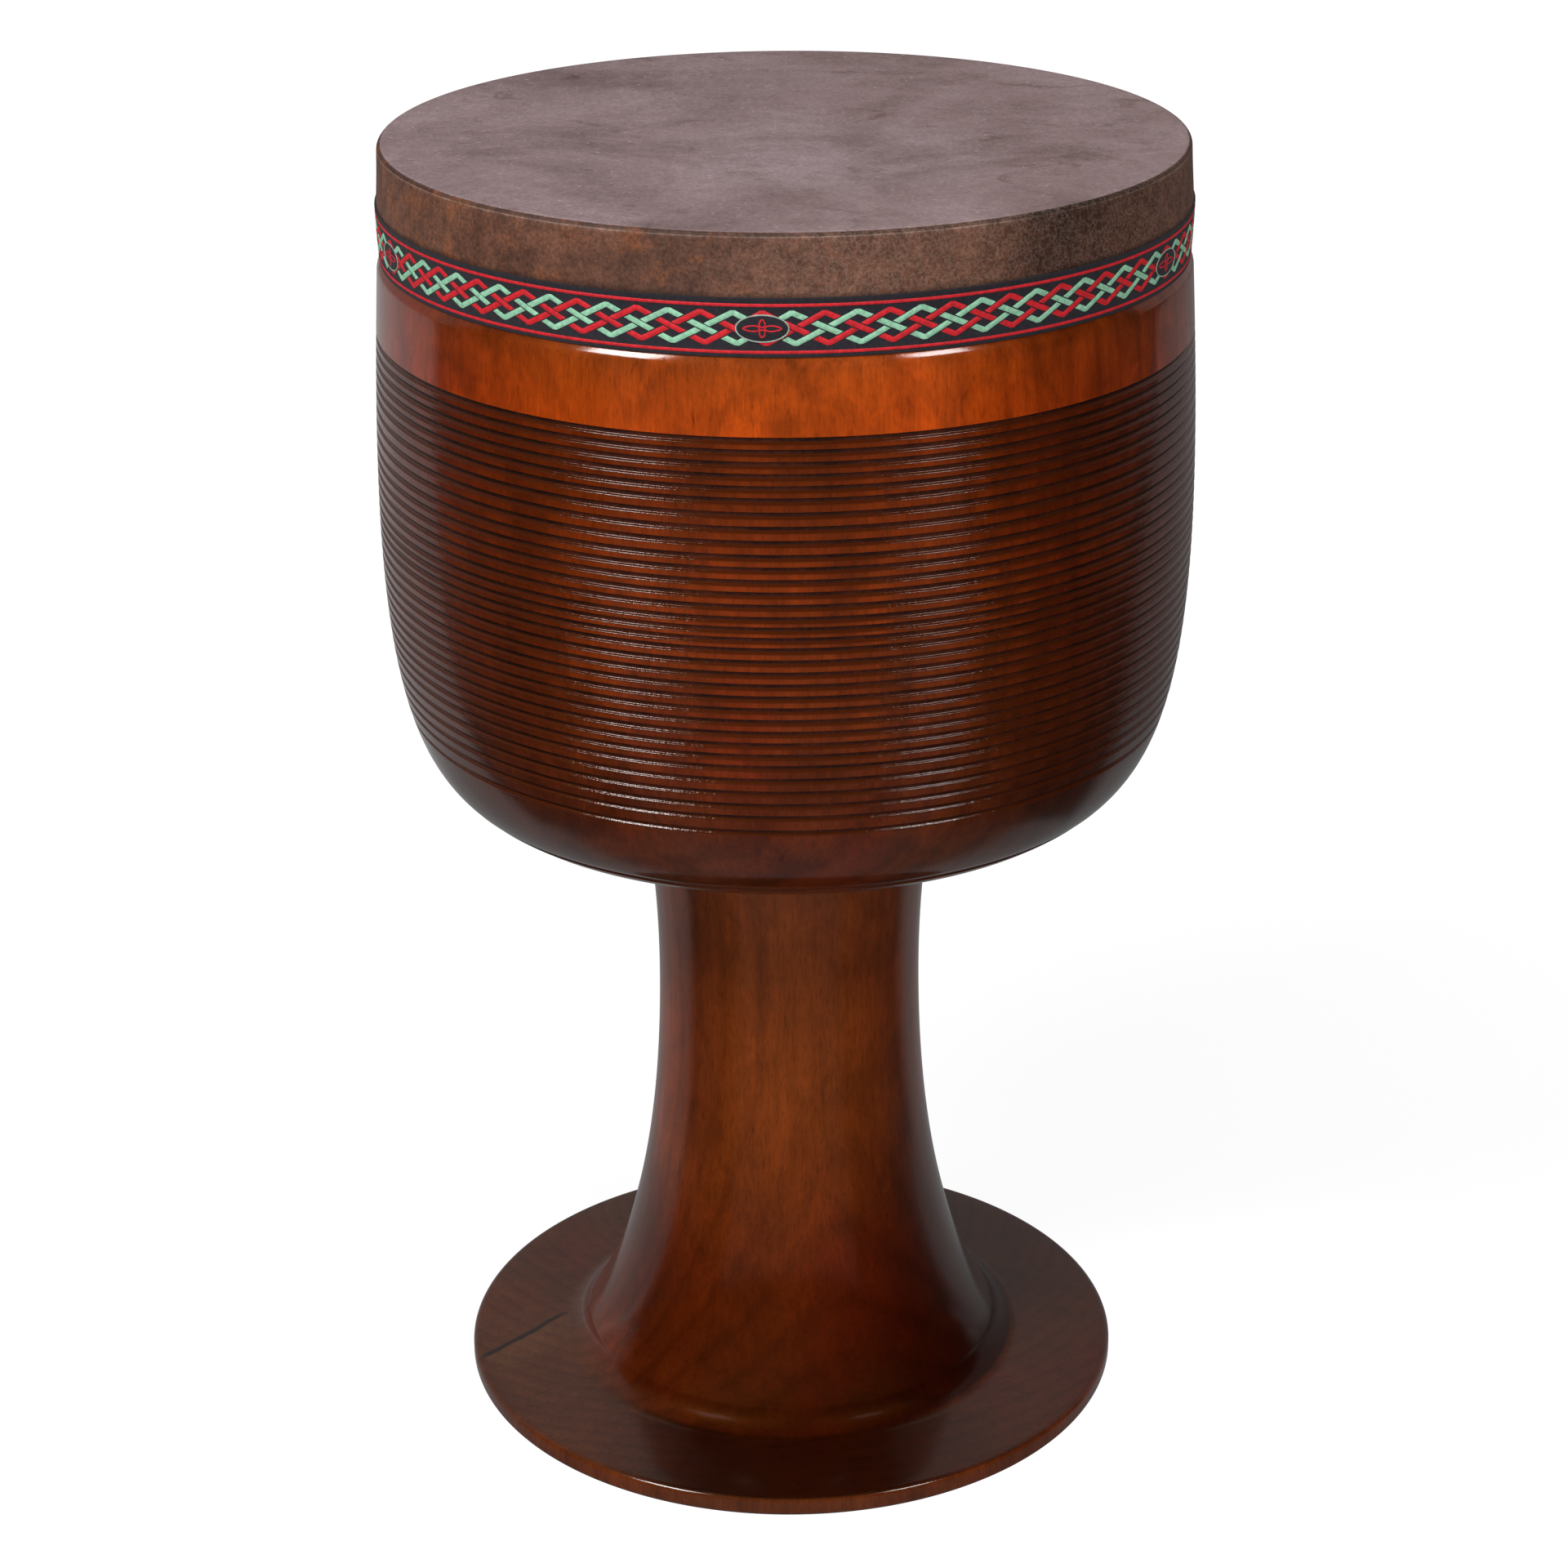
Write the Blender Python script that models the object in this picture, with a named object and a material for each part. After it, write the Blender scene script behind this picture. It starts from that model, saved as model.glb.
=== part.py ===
"""A tombak, the Persian goblet drum: a turned walnut bowl on a trumpet-shaped neck and foot,
with a glued hide head and a woven ribbon over the hide's lower edge.

Units are metres, +Z is up, and the origin is the middle of the foot's underside.
"""

import math

import bmesh
import bpy

# Fit between pieces, and how finely round pieces are faceted
GLUE_GAP = 0.0003
SEGMENTS = 48
SMOOTH_EDGE_DEG = 28

# Bowl, outside: mouth, belly and base edge, with how far the wall runs straight from each
RIM_HEIGHT = 0.4617
RIM_ROUND = 0.0022
MOUTH_RADIUS = 0.1344
MOUTH_PULL = 0.0367
MOUTH_LEAN = 0.0436
BELLY_SWELL = 0.0053
BELLY_DROP = 0.1217
BELLY_PULL_UP = 0.045
BELLY_PULL_DOWN = 0.064
BASE_RADIUS = 0.1135
BASE_DROP = 0.103
BASE_PULL = 0.020
BASE_LEAN = 1.69
UNDERSIDE_DROP = 0.017

# Bowl, inside
BOWL_WALL = 0.013
BOWL_FLOOR = 0.019
FLOOR_CHAMFER = 0.0076
FLOOR_PULL = 0.065
SOCKET_DEPTH = 0.015

# Turned grooves round the bowl, and the single groove at its base
GROOVE_COUNT = 33
GROOVE_PITCH = 0.00415
GROOVE_DEPTH = 0.0009
FIRST_GROOVE_DROP = 0.0620
BASE_GROOVE_WIDTH = 0.0026
BASE_GROOVE_DEPTH = 0.0018
BASE_GROOVE_RISE = 0.0057

# Neck and foot, outside
NECK_TOP_RADIUS = 0.0513
WAIST_RADIUS = 0.0471
WAIST_HEIGHT = 0.160
FLARE_PULL_WAIST = 0.053
FLARE_PULL_FOOT = 0.040
FLARE_LEAN = 0.60
FLARE_RADIUS = 0.0780
FLARE_HEIGHT = 0.0120
COVE_WIDTH = 0.0093
FOOT_RADIUS = 0.1203
FOOT_TREAD_HEIGHT = 0.0081
FOOT_EDGE = 0.0076
FOOT_ROUND = 0.0024

# Neck and foot, inside
BORE_RADIUS = 0.0330
SPIGOT_WALL = 0.0085
FOOT_WALL = 0.0125
FOOT_MOUTH_RADIUS = 0.0720
BORE_FLARE_START = 0.075

# Hide head
SKIN_THICKNESS = 0.0010
SKIRT_DROP = 0.0356

# Ribbon
RIBBON_WIDTH = 0.0181
RIBBON_THICKNESS = 0.0008
RIBBON_OVERHANG = 0.0010
RIBBON_SEAM = 0.0006

BELLY_RADIUS = MOUTH_RADIUS + BELLY_SWELL
BELLY_HEIGHT = RIM_HEIGHT - BELLY_DROP
BASE_HEIGHT = BELLY_HEIGHT - BASE_DROP
JOINT_HEIGHT = BASE_HEIGHT - UNDERSIDE_DROP
SPIGOT_RADIUS = BORE_RADIUS + SPIGOT_WALL
SPIGOT_TOP = JOINT_HEIGHT + SOCKET_DEPTH
SKIRT_HEIGHT = RIM_HEIGHT - SKIRT_DROP


def clear_scene():
    for thing in list(bpy.data.objects):
        bpy.data.objects.remove(thing, do_unlink=True)


def bezier(p0, p1, p2, p3, steps):
    """Points of a cubic curve from p0 to p3, both ends included."""
    points = []
    for i in range(steps + 1):
        t = i / steps
        weights = (1 - t) ** 3, 3 * (1 - t) ** 2 * t, 3 * (1 - t) * t ** 2, t ** 3
        points.append(tuple(sum(w * p[a] for w, p in zip(weights, (p0, p1, p2, p3))) for a in (0, 1)))
    return points


def arc(centre, radius, start_deg, end_deg, steps):
    """Points of a circular arc in the (radius, height) plane."""
    points = []
    for i in range(steps + 1):
        angle = math.radians(start_deg + (end_deg - start_deg) * i / steps)
        points.append((centre[0] + radius * math.cos(angle), centre[1] + radius * math.sin(angle)))
    return points


def plain_material(name, colour, roughness):
    material = bpy.data.materials.new(name)
    material.use_nodes = True
    shader = material.node_tree.nodes["Principled BSDF"]
    shader.inputs["Base Color"].default_value = (*colour, 1.0)
    shader.inputs["Roughness"].default_value = roughness
    shader.inputs["Metallic"].default_value = 0.0
    return material


def turned(name, outline, material, capped=False, seam_deg=0.0):
    """A (radius, height) outline turned round the Z axis.

    The outline closes on itself, or with capped its two ends are closed by flat discs.
    A seam leaves that much of the turn open at the back, with flat ends.
    """
    shape = bmesh.new()
    sweep = math.radians(360 - seam_deg)
    start = math.pi / 2 + math.radians(seam_deg) / 2
    columns = SEGMENTS + 1 if seam_deg else SEGMENTS
    rings = []
    for k in range(columns):
        c = math.cos(start + sweep * k / SEGMENTS)
        s = math.sin(start + sweep * k / SEGMENTS)
        rings.append([shape.verts.new((r * c, r * s, z)) for r, z in outline])
    spans = len(outline) - 1 if capped else len(outline)
    for k in range(SEGMENTS):
        here, there = rings[k], rings[(k + 1) % columns]
        for i in range(spans):
            j = (i + 1) % len(outline)
            shape.faces.new((here[i], there[i], there[j], here[j]))
    if capped:
        shape.faces.new([ring[0] for ring in rings])
        shape.faces.new([ring[-1] for ring in reversed(rings)])
    if seam_deg:
        shape.faces.new(rings[0])
        shape.faces.new(list(reversed(rings[-1])))
    bmesh.ops.recalc_face_normals(shape, faces=shape.faces)
    mesh = bpy.data.meshes.new(name)
    shape.to_mesh(mesh)
    shape.free()
    mesh.shade_smooth()
    mesh.set_sharp_from_angle(angle=math.radians(SMOOTH_EDGE_DEG))
    mesh.materials.append(material)
    piece = bpy.data.objects.new(name, mesh)
    bpy.context.collection.objects.link(piece)


def upper_wall(steps=60):
    """Outside of the bowl from the mouth down to the belly."""
    return bezier(
        (MOUTH_RADIUS, RIM_HEIGHT),
        (MOUTH_RADIUS + MOUTH_LEAN * MOUTH_PULL, RIM_HEIGHT - MOUTH_PULL),
        (BELLY_RADIUS, BELLY_HEIGHT + BELLY_PULL_UP),
        (BELLY_RADIUS, BELLY_HEIGHT), steps)


def lower_wall(steps=60):
    """Outside of the bowl from the belly down to its base edge."""
    length = math.hypot(BASE_LEAN, 1.0)
    return bezier(
        (BELLY_RADIUS, BELLY_HEIGHT),
        (BELLY_RADIUS, BELLY_HEIGHT - BELLY_PULL_DOWN),
        (BASE_RADIUS + BASE_PULL * BASE_LEAN / length, BASE_HEIGHT + BASE_PULL / length),
        (BASE_RADIUS, BASE_HEIGHT), steps)


def wall_radius(height):
    """Outside radius of the plain upper wall at a height."""
    path = upper_wall()
    for (r0, z0), (r1, z1) in zip(path, path[1:]):
        if z1 <= height <= z0:
            return r0 + (r1 - r0) * (z0 - height) / (z0 - z1)
    return path[-1][0]


def path_length(path):
    return sum(math.dist(a, b) for a, b in zip(path, path[1:]))


def on_wall(path, distance, depth=0.0):
    """The point at a distance down an outside path, cut in by a depth square to the wall."""
    run = 0.0
    for a, b in zip(path, path[1:]):
        step = math.dist(a, b)
        if run + step >= distance or b is path[-1]:
            t = min(1.0, (distance - run) / step)
            away = (a[1] - b[1]) / step, (b[0] - a[0]) / step
            return (a[0] + t * (b[0] - a[0]) - depth * away[0],
                    a[1] + t * (b[1] - a[1]) - depth * away[1])
        run += step


def bowl_outside():
    """From the rim down over the grooves to the base edge."""
    path = upper_wall() + lower_wall()[1:]
    total = path_length(path)
    points = arc((MOUTH_RADIUS - RIM_ROUND, RIM_HEIGHT - RIM_ROUND), RIM_ROUND, 90, 0, 3)
    half = GROOVE_PITCH / 2
    plain_end = FIRST_GROOVE_DROP - half
    points += [on_wall(path, plain_end * share) for share in (0.3, 0.65, 1.0)]
    for i in range(GROOVE_COUNT):
        middle = FIRST_GROOVE_DROP + i * GROOVE_PITCH
        points += [on_wall(path, middle, GROOVE_DEPTH), on_wall(path, middle + half)]
    grooves_end = plain_end + GROOVE_COUNT * GROOVE_PITCH
    base_middle = total - BASE_GROOVE_RISE
    base_start = base_middle - BASE_GROOVE_WIDTH / 2
    points += [on_wall(path, grooves_end + (base_start - grooves_end) * share) for share in (0.35, 0.7, 1.0)]
    points += [on_wall(path, base_middle, BASE_GROOVE_DEPTH), on_wall(path, base_middle + BASE_GROOVE_WIDTH / 2)]
    points.append((BASE_RADIUS, BASE_HEIGHT))
    return points


def bowl_outline():
    """From the rim down the outside, under to the neck, and up the socket, throat and inside."""
    width = BASE_RADIUS - NECK_TOP_RADIUS
    points = bowl_outside()
    points += bezier(
        (BASE_RADIUS, BASE_HEIGHT),
        (BASE_RADIUS - 0.25 * width, BASE_HEIGHT - 0.5 * UNDERSIDE_DROP),
        (NECK_TOP_RADIUS + 0.15 * width, JOINT_HEIGHT + 0.45 * UNDERSIDE_DROP),
        (NECK_TOP_RADIUS, JOINT_HEIGHT), 5)[1:]
    socket_radius = SPIGOT_RADIUS + GLUE_GAP
    socket_top = SPIGOT_TOP + GLUE_GAP
    points += [(socket_radius, JOINT_HEIGHT), (socket_radius, socket_top), (BORE_RADIUS, socket_top)]
    floor_height = SPIGOT_TOP + BOWL_FLOOR
    inner_belly = BELLY_RADIUS - BOWL_WALL
    inner_mouth = MOUTH_RADIUS - BOWL_WALL
    points += bezier(
        (BORE_RADIUS, floor_height - FLOOR_CHAMFER),
        (BORE_RADIUS + FLOOR_PULL, floor_height - FLOOR_CHAMFER / 2),
        (inner_belly, floor_height + FLOOR_CHAMFER),
        (inner_belly, BELLY_HEIGHT), 7)
    points += bezier(
        (inner_belly, BELLY_HEIGHT),
        (inner_belly, BELLY_HEIGHT + BELLY_PULL_UP),
        (inner_mouth, RIM_HEIGHT - MOUTH_PULL),
        (inner_mouth, RIM_HEIGHT - RIM_ROUND), 4)[1:]
    points.append((inner_mouth + RIM_ROUND, RIM_HEIGHT))
    return points


def neck_outside():
    """From the shoulder down the neck and flare, over the foot and round its edge."""
    shoulder = JOINT_HEIGHT - GLUE_GAP
    points = []
    for i in range(4):
        share = 1 - i / 4
        swell = (NECK_TOP_RADIUS - WAIST_RADIUS) * share ** 2
        points.append((WAIST_RADIUS + swell, WAIST_HEIGHT + (shoulder - WAIST_HEIGHT) * share))
    points += bezier(
        (WAIST_RADIUS, WAIST_HEIGHT),
        (WAIST_RADIUS, WAIST_HEIGHT - FLARE_PULL_WAIST),
        (FLARE_RADIUS - FLARE_PULL_FOOT * FLARE_LEAN, FLARE_HEIGHT + FLARE_PULL_FOOT),
        (FLARE_RADIUS, FLARE_HEIGHT), 10)
    points += bezier(
        (FLARE_RADIUS, FLARE_HEIGHT),
        (FLARE_RADIUS + 0.3 * COVE_WIDTH, FLARE_HEIGHT - 0.75 * (FLARE_HEIGHT - FOOT_TREAD_HEIGHT)),
        (FLARE_RADIUS + 0.6 * COVE_WIDTH, FOOT_TREAD_HEIGHT),
        (FLARE_RADIUS + COVE_WIDTH, FOOT_TREAD_HEIGHT), 4)[1:]
    points += arc((FOOT_RADIUS - FOOT_ROUND, FOOT_EDGE - FOOT_ROUND), FOOT_ROUND, 90, 0, 3)
    points += arc((FOOT_RADIUS - FOOT_ROUND, FOOT_ROUND), FOOT_ROUND, 0, -90, 3)
    return points


def neck_outline():
    """From the spigot's top down the outside to the foot, and up the flared bore."""
    points = [(SPIGOT_RADIUS, SPIGOT_TOP), (SPIGOT_RADIUS, JOINT_HEIGHT - GLUE_GAP)]
    points += neck_outside()
    points += bezier(
        (FOOT_MOUTH_RADIUS, 0.0),
        (FLARE_RADIUS - FLARE_PULL_FOOT * FLARE_LEAN - FOOT_WALL, FLARE_PULL_FOOT),
        (BORE_RADIUS, BORE_FLARE_START),
        (BORE_RADIUS, WAIST_HEIGHT), 9)
    points.append((BORE_RADIUS, SPIGOT_TOP))
    return points


def skin_outline():
    """The hide's section: out along the flat top, down the skirt, and back up inside it."""
    inner = GLUE_GAP
    outer = GLUE_GAP + SKIN_THICKNESS
    corner = (MOUTH_RADIUS - RIM_ROUND, RIM_HEIGHT - RIM_ROUND)
    heights = [corner[1] + share * (SKIRT_HEIGHT - corner[1]) for share in (0.3, 0.65, 1.0)]
    points = arc(corner, RIM_ROUND + outer, 90, 0, 4)
    points += [(wall_radius(height) + outer, height) for height in heights]
    points += [(wall_radius(height) + inner, height) for height in reversed(heights)]
    points += arc(corner, RIM_ROUND + inner, 0, 90, 4)
    return points


def ribbon_outline():
    """The ribbon's section, lying on the hide's skirt and just past its lower edge."""
    bottom = SKIRT_HEIGHT - RIBBON_OVERHANG
    top = bottom + RIBBON_WIDTH
    seat = GLUE_GAP + SKIN_THICKNESS + GLUE_GAP
    inner_bottom = wall_radius(bottom) + seat
    inner_top = wall_radius(top) + seat
    return [(inner_bottom, bottom), (inner_bottom + RIBBON_THICKNESS, bottom),
            (inner_top + RIBBON_THICKNESS, top), (inner_top, top)]


clear_scene()
turned("bowl", bowl_outline(), plain_material("walnut bowl", (0.28, 0.07, 0.012), 0.22))
turned("neck_and_foot", neck_outline(), plain_material("walnut neck", (0.13, 0.035, 0.012), 0.20))
turned("drum_skin", skin_outline(), plain_material("dyed hide", (0.16, 0.12, 0.11), 0.62), capped=True)
turned("ribbon", ribbon_outline(), plain_material("woven ribbon", (0.02, 0.02, 0.03), 0.7),
       seam_deg=math.degrees(RIBBON_SEAM / MOUTH_RADIUS))
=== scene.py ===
"""The looks of a tombak: turned and lacquered walnut, a dyed hide head and a woven ribbon."""

import math
import random

import bpy
from mathutils import Matrix, Vector


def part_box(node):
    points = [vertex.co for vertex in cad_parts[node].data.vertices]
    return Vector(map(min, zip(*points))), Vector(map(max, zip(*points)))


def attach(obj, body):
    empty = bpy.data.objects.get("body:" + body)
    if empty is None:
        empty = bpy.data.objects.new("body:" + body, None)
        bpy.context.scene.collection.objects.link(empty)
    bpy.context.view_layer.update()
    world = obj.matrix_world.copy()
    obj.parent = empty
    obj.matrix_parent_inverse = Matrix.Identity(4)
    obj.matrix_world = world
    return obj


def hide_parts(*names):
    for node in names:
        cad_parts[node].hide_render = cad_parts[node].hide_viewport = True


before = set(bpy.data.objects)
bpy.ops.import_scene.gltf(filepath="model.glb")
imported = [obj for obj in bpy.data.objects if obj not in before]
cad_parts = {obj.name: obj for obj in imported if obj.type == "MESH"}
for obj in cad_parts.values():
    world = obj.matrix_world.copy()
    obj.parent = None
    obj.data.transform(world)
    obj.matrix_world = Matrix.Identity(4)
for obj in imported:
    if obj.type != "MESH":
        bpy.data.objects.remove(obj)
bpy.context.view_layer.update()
MM = 0.001

# Camera. It stands in front of the drum at about chest height, on its middle line, and looks
# down a little more than twenty degrees, so that the whole head and foot are seen.
camera_data = bpy.data.cameras.new("studio_camera")
camera_data.sensor_width = 36.0
camera_data.lens = 83.59
camera_data.clip_start = 0.05
camera_data.clip_end = 50.0
camera = bpy.data.objects.new("studio_camera", camera_data)
bpy.context.collection.objects.link(camera)
camera_place = Matrix.Translation((-0.0004, -1.1968, 0.7324))
camera_turn = Matrix.Rotation(math.radians(0.051), 4, "Z")
camera_tilt = Matrix.Rotation(math.radians(90 - 22.84), 4, "X")
camera_roll = Matrix.Rotation(math.radians(-0.354), 4, "Z")
camera.matrix_world = camera_place @ camera_turn @ camera_tilt @ camera_roll
bpy.context.scene.camera = camera

# Bowl. It is one block of walnut, turned with the grain upright, with a plain band under the
# ribbon, thirty-three cut grooves below it and one more at the base, under several coats of
# clear glossy lacquer.
RIM_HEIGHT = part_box("bowl")[1].z
JOINT_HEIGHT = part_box("bowl")[0].z
BELLY_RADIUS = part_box("bowl")[1].x
BELLY_HEIGHT = RIM_HEIGHT - 121.7 * MM
MOUTH_RADIUS = 134.4 * MM
BASE_RADIUS = 113.5 * MM
BASE_HEIGHT = BELLY_HEIGHT - 103.0 * MM
BASE_LEAN = 1.69
BASE_PULL = 20.0 * MM
NECK_TOP_RADIUS = 51.3 * MM
BORE_RADIUS = 33.0 * MM
BOWL_WALL = 13.0 * MM
RIM_ROUND = 2.2 * MM
THROAT_TOP = JOINT_HEIGHT + 34.0 * MM
FIRST_GROOVE = 62.5 * MM
GROOVE_RUNS = ((5, 3.81), (4, 4.52), (5, 4.04), (3, 3.43), (10, 4.06), (4, 4.69), (1, 5.73))
# A groove from its upper edge down: distance, depth (both mm) and how far the stain fills it
GROOVE_SECTION = ((-1.08, 0.0, 0.0), (-1.03, 0.12, 1.0), (-0.92, 0.5, 1.0), (-0.74, 0.78, 1.0), (-0.3, 0.84, 1.0),
                  (0.35, 0.84, 1.0), (0.55, 0.8, 0.88), (0.7, 0.71, 0.88), (0.83, 0.54, 0.88), (0.93, 0.38, 0.88),
                  (1.01, 0.265, 0.88), (1.1, 0.17, 0.86), (1.2, 0.096, 0.76), (1.31, 0.042, 0.5), (1.43, 0.01, 0.2),
                  (1.55, 0.0, 0.0))
# The wall is cut back under the hide, deeper towards its lower edge. The rounded shoulder below it
# comes out from under the ribbon: distance down the wall and depth, both mm
SEAT_DEPTH = 0.7
SEAT_START = 17.0
SHOULDER = ((35.8, 2.4), (36.2, 2.3), (36.6, 1.8), (36.95, 1.42), (37.3, 1.21), (37.8, 0.92), (38.3, 0.65),
            (38.8, 0.41), (39.3, 0.215), (39.8, 0.085), (40.4, 0.015), (41.0, 0.0))


def curve(start, pull_a, pull_b, end, steps):
    """Points of a smooth curve between two points in the (radius, height) plane."""
    points = []
    for i in range(steps + 1):
        t = i / steps
        weights = (1 - t) ** 3, 3 * (1 - t) ** 2 * t, 3 * (1 - t) * t ** 2, t ** 3
        ends = start, pull_a, pull_b, end
        points.append(tuple(sum(w * p[axis] for w, p in zip(weights, ends)) for axis in (0, 1)))
    return points


def arc(centre, radius, start_deg, end_deg, steps):
    """Points of a round edge in the (radius, height) plane."""
    angles = [math.radians(start_deg + (end_deg - start_deg) * i / steps) for i in range(steps + 1)]
    return [(centre[0] + radius * math.cos(a), centre[1] + radius * math.sin(a)) for a in angles]


def link_piece(name, points, faces, material, sharp_deg=35.0):
    mesh = bpy.data.meshes.new(name)
    mesh.from_pydata(points, [], faces)
    mesh.update()
    mesh.shade_smooth()
    mesh.set_sharp_from_angle(angle=math.radians(sharp_deg))
    mesh.materials.append(material)
    piece = bpy.data.objects.new(name, mesh)
    bpy.context.collection.objects.link(piece)
    return piece


def turn(name, outline, material, around=240, stained=None):
    """Turns a closed outline about the axis. It is clockwise from its top, as (radius, height, stain).

    Faces whose two edges are both stained take the second material.
    """
    points, faces = [], []
    count = len(outline)
    for k in range(around):
        angle = 2 * math.pi * k / around
        points += [(p[0] * math.sin(angle), -p[0] * math.cos(angle), p[1]) for p in outline]
    for k in range(around):
        here, there = k * count, (k + 1) % around * count
        for i in range(count):
            j = (i + 1) % count
            faces.append((here + i, here + j, there + j, there + i))
    piece = link_piece(name, points, faces, material)
    stain = piece.data.attributes.new("stain", "FLOAT", "POINT")
    stains = [p[2] if len(p) == 3 else 0.0 for p in outline]
    stain.data.foreach_set("value", stains * around)
    if stained:
        piece.data.materials.append(stained)
        slots = [int(min(stains[i], stains[(i + 1) % count]) > 0.9) for i in range(count)]
        piece.data.polygons.foreach_set("material_index", slots * around)
    return piece


def wall_line():
    """The bowl's outside from the mouth to the base edge, before the grooves are cut."""
    lean = math.hypot(BASE_LEAN, 1.0)
    upper = curve((MOUTH_RADIUS, RIM_HEIGHT), (MOUTH_RADIUS + 1.6 * MM, RIM_HEIGHT - 36.7 * MM),
                  (BELLY_RADIUS, BELLY_HEIGHT + 45 * MM), (BELLY_RADIUS, BELLY_HEIGHT), 200)
    lower = curve((BELLY_RADIUS, BELLY_HEIGHT), (BELLY_RADIUS, BELLY_HEIGHT - 64 * MM),
                  (BASE_RADIUS + BASE_PULL * BASE_LEAN / lean, BASE_HEIGHT + BASE_PULL / lean),
                  (BASE_RADIUS, BASE_HEIGHT), 200)
    return upper + lower[1:]


WALL = wall_line()
WALL_LENGTH = sum(math.dist(a, b) for a, b in zip(WALL, WALL[1:]))


def on_wall(distance, depth=0.0):
    """The point at a distance down the wall from the mouth, cut in square to it by a depth."""
    run = 0.0
    for a, b in zip(WALL, WALL[1:]):
        step = math.dist(a, b)
        if run + step >= distance or b is WALL[-1]:
            t = (distance - run) / step
            inward = (b[1] - a[1]) / step, (a[0] - b[0]) / step
            return (a[0] + t * (b[0] - a[0]) + depth * inward[0],
                    a[1] + t * (b[1] - a[1]) + depth * inward[1])
        run += step


def wall_radius(height):
    for (r0, z0), (r1, z1) in zip(WALL, WALL[1:]):
        if z1 <= height <= z0:
            return r0 + (r1 - r0) * (z0 - height) / (z0 - z1)


def bowl_section():
    points = arc((MOUTH_RADIUS - SEAT_DEPTH * MM - RIM_ROUND, RIM_HEIGHT - RIM_ROUND), RIM_ROUND, 90, 0, 4)
    points += [on_wall(SEAT_START * MM * i / 4, SEAT_DEPTH * MM) for i in range(1, 5)]
    points += [on_wall(s * MM, d * MM) for s, d in SHOULDER]
    plain_start, plain_end = SHOULDER[-1][0] * MM, FIRST_GROOVE - 1.2 * MM
    points += [on_wall(plain_start + (plain_end - plain_start) * i / 4) for i in range(1, 5)]
    middle = FIRST_GROOVE
    gaps = [gap * MM for count, gap in GROOVE_RUNS for _ in range(count)]
    for gap in gaps + [0.0]:
        points += [(*on_wall(middle + s * MM, d * MM), stain) for s, d, stain in GROOVE_SECTION]
        middle += gap
    grooves_end = middle + 3.0 * MM
    base_start = WALL_LENGTH - 7.4 * MM
    points += [on_wall(grooves_end + (base_start - grooves_end) * i / 12) for i in range(13)]
    for s, d, stain in ((0.3, 0.1, 0.3), (0.5, 0.5, 1.0), (0.9, 1.5, 1.0), (1.6, 1.9, 1.0), (2.3, 1.6, 1.0),
                        (2.8, 0.6, 0.7), (3.2, 0.08, 0.0), (3.8, 0.0, 0.0)):
        points.append((*on_wall(base_start + s * MM, d * MM), stain))
    for share in (0.5, 0.8):
        points.append(on_wall(base_start + 3.8 * MM + 3.6 * MM * share))
    width = BASE_RADIUS - NECK_TOP_RADIUS
    drop = BASE_HEIGHT - JOINT_HEIGHT
    points += curve((BASE_RADIUS - 0.4 * MM, BASE_HEIGHT - 0.3 * MM),
                    (BASE_RADIUS - 0.25 * width, BASE_HEIGHT - 0.5 * drop),
                    (NECK_TOP_RADIUS + 0.15 * width, JOINT_HEIGHT + 0.45 * drop),
                    (NECK_TOP_RADIUS, JOINT_HEIGHT), 16)
    points += [(BORE_RADIUS, JOINT_HEIGHT), (BORE_RADIUS, THROAT_TOP - 7.6 * MM)]
    inner_belly = BELLY_RADIUS - BOWL_WALL
    inner_mouth = MOUTH_RADIUS - BOWL_WALL
    points += curve((BORE_RADIUS, THROAT_TOP - 7.6 * MM), (BORE_RADIUS + 65 * MM, THROAT_TOP - 3.8 * MM),
                    (inner_belly, THROAT_TOP + 7.6 * MM), (inner_belly, BELLY_HEIGHT), 30)[1:]
    points += curve((inner_belly, BELLY_HEIGHT), (inner_belly, BELLY_HEIGHT + 45 * MM),
                    (inner_mouth, RIM_HEIGHT - 36.7 * MM), (inner_mouth, RIM_HEIGHT - RIM_ROUND), 16)[1:]
    points.append((inner_mouth + RIM_ROUND, RIM_HEIGHT))
    return points


def add_node(material, kind, **settings):
    node = material.node_tree.nodes.new(kind)
    for name, value in settings.items():
        setattr(node, name, value)
    return node


def join(material, source, target):
    material.node_tree.links.new(source, target)


def math_node(material, operation, a, b=None):
    node = add_node(material, "ShaderNodeMath", operation=operation)
    for socket, value in zip(node.inputs, (a, b)):
        if isinstance(value, bpy.types.NodeSocket):
            join(material, value, socket)
        elif value is not None:
            socket.default_value = value
    return node.outputs[0]


def stretched_noise(material, place, stretch, scale, detail=4.0, roughness=0.55, bent=0.0):
    """Noise that is drawn out along the grain. Scales are per metre."""
    mapping = add_node(material, "ShaderNodeMapping")
    mapping.inputs["Scale"].default_value = stretch
    join(material, place, mapping.inputs["Vector"])
    noise = add_node(material, "ShaderNodeTexNoise")
    noise.inputs["Scale"].default_value = scale
    noise.inputs["Detail"].default_value = detail
    noise.inputs["Roughness"].default_value = roughness
    noise.inputs["Distortion"].default_value = bent
    join(material, mapping.outputs["Vector"], noise.inputs["Vector"])
    return noise.outputs[0]


def ramp(material, value, *stops):
    """A colour for each place of a value from 0 to 1."""
    node = add_node(material, "ShaderNodeValToRGB")
    join(material, value, node.inputs[0])
    elements = node.color_ramp.elements
    for i, (place, colour) in enumerate(stops):
        element = elements[i] if i < 2 else elements.new(place)
        element.position = place
        element.color = (*colour, 1.0)
    return node.outputs[0]


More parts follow.
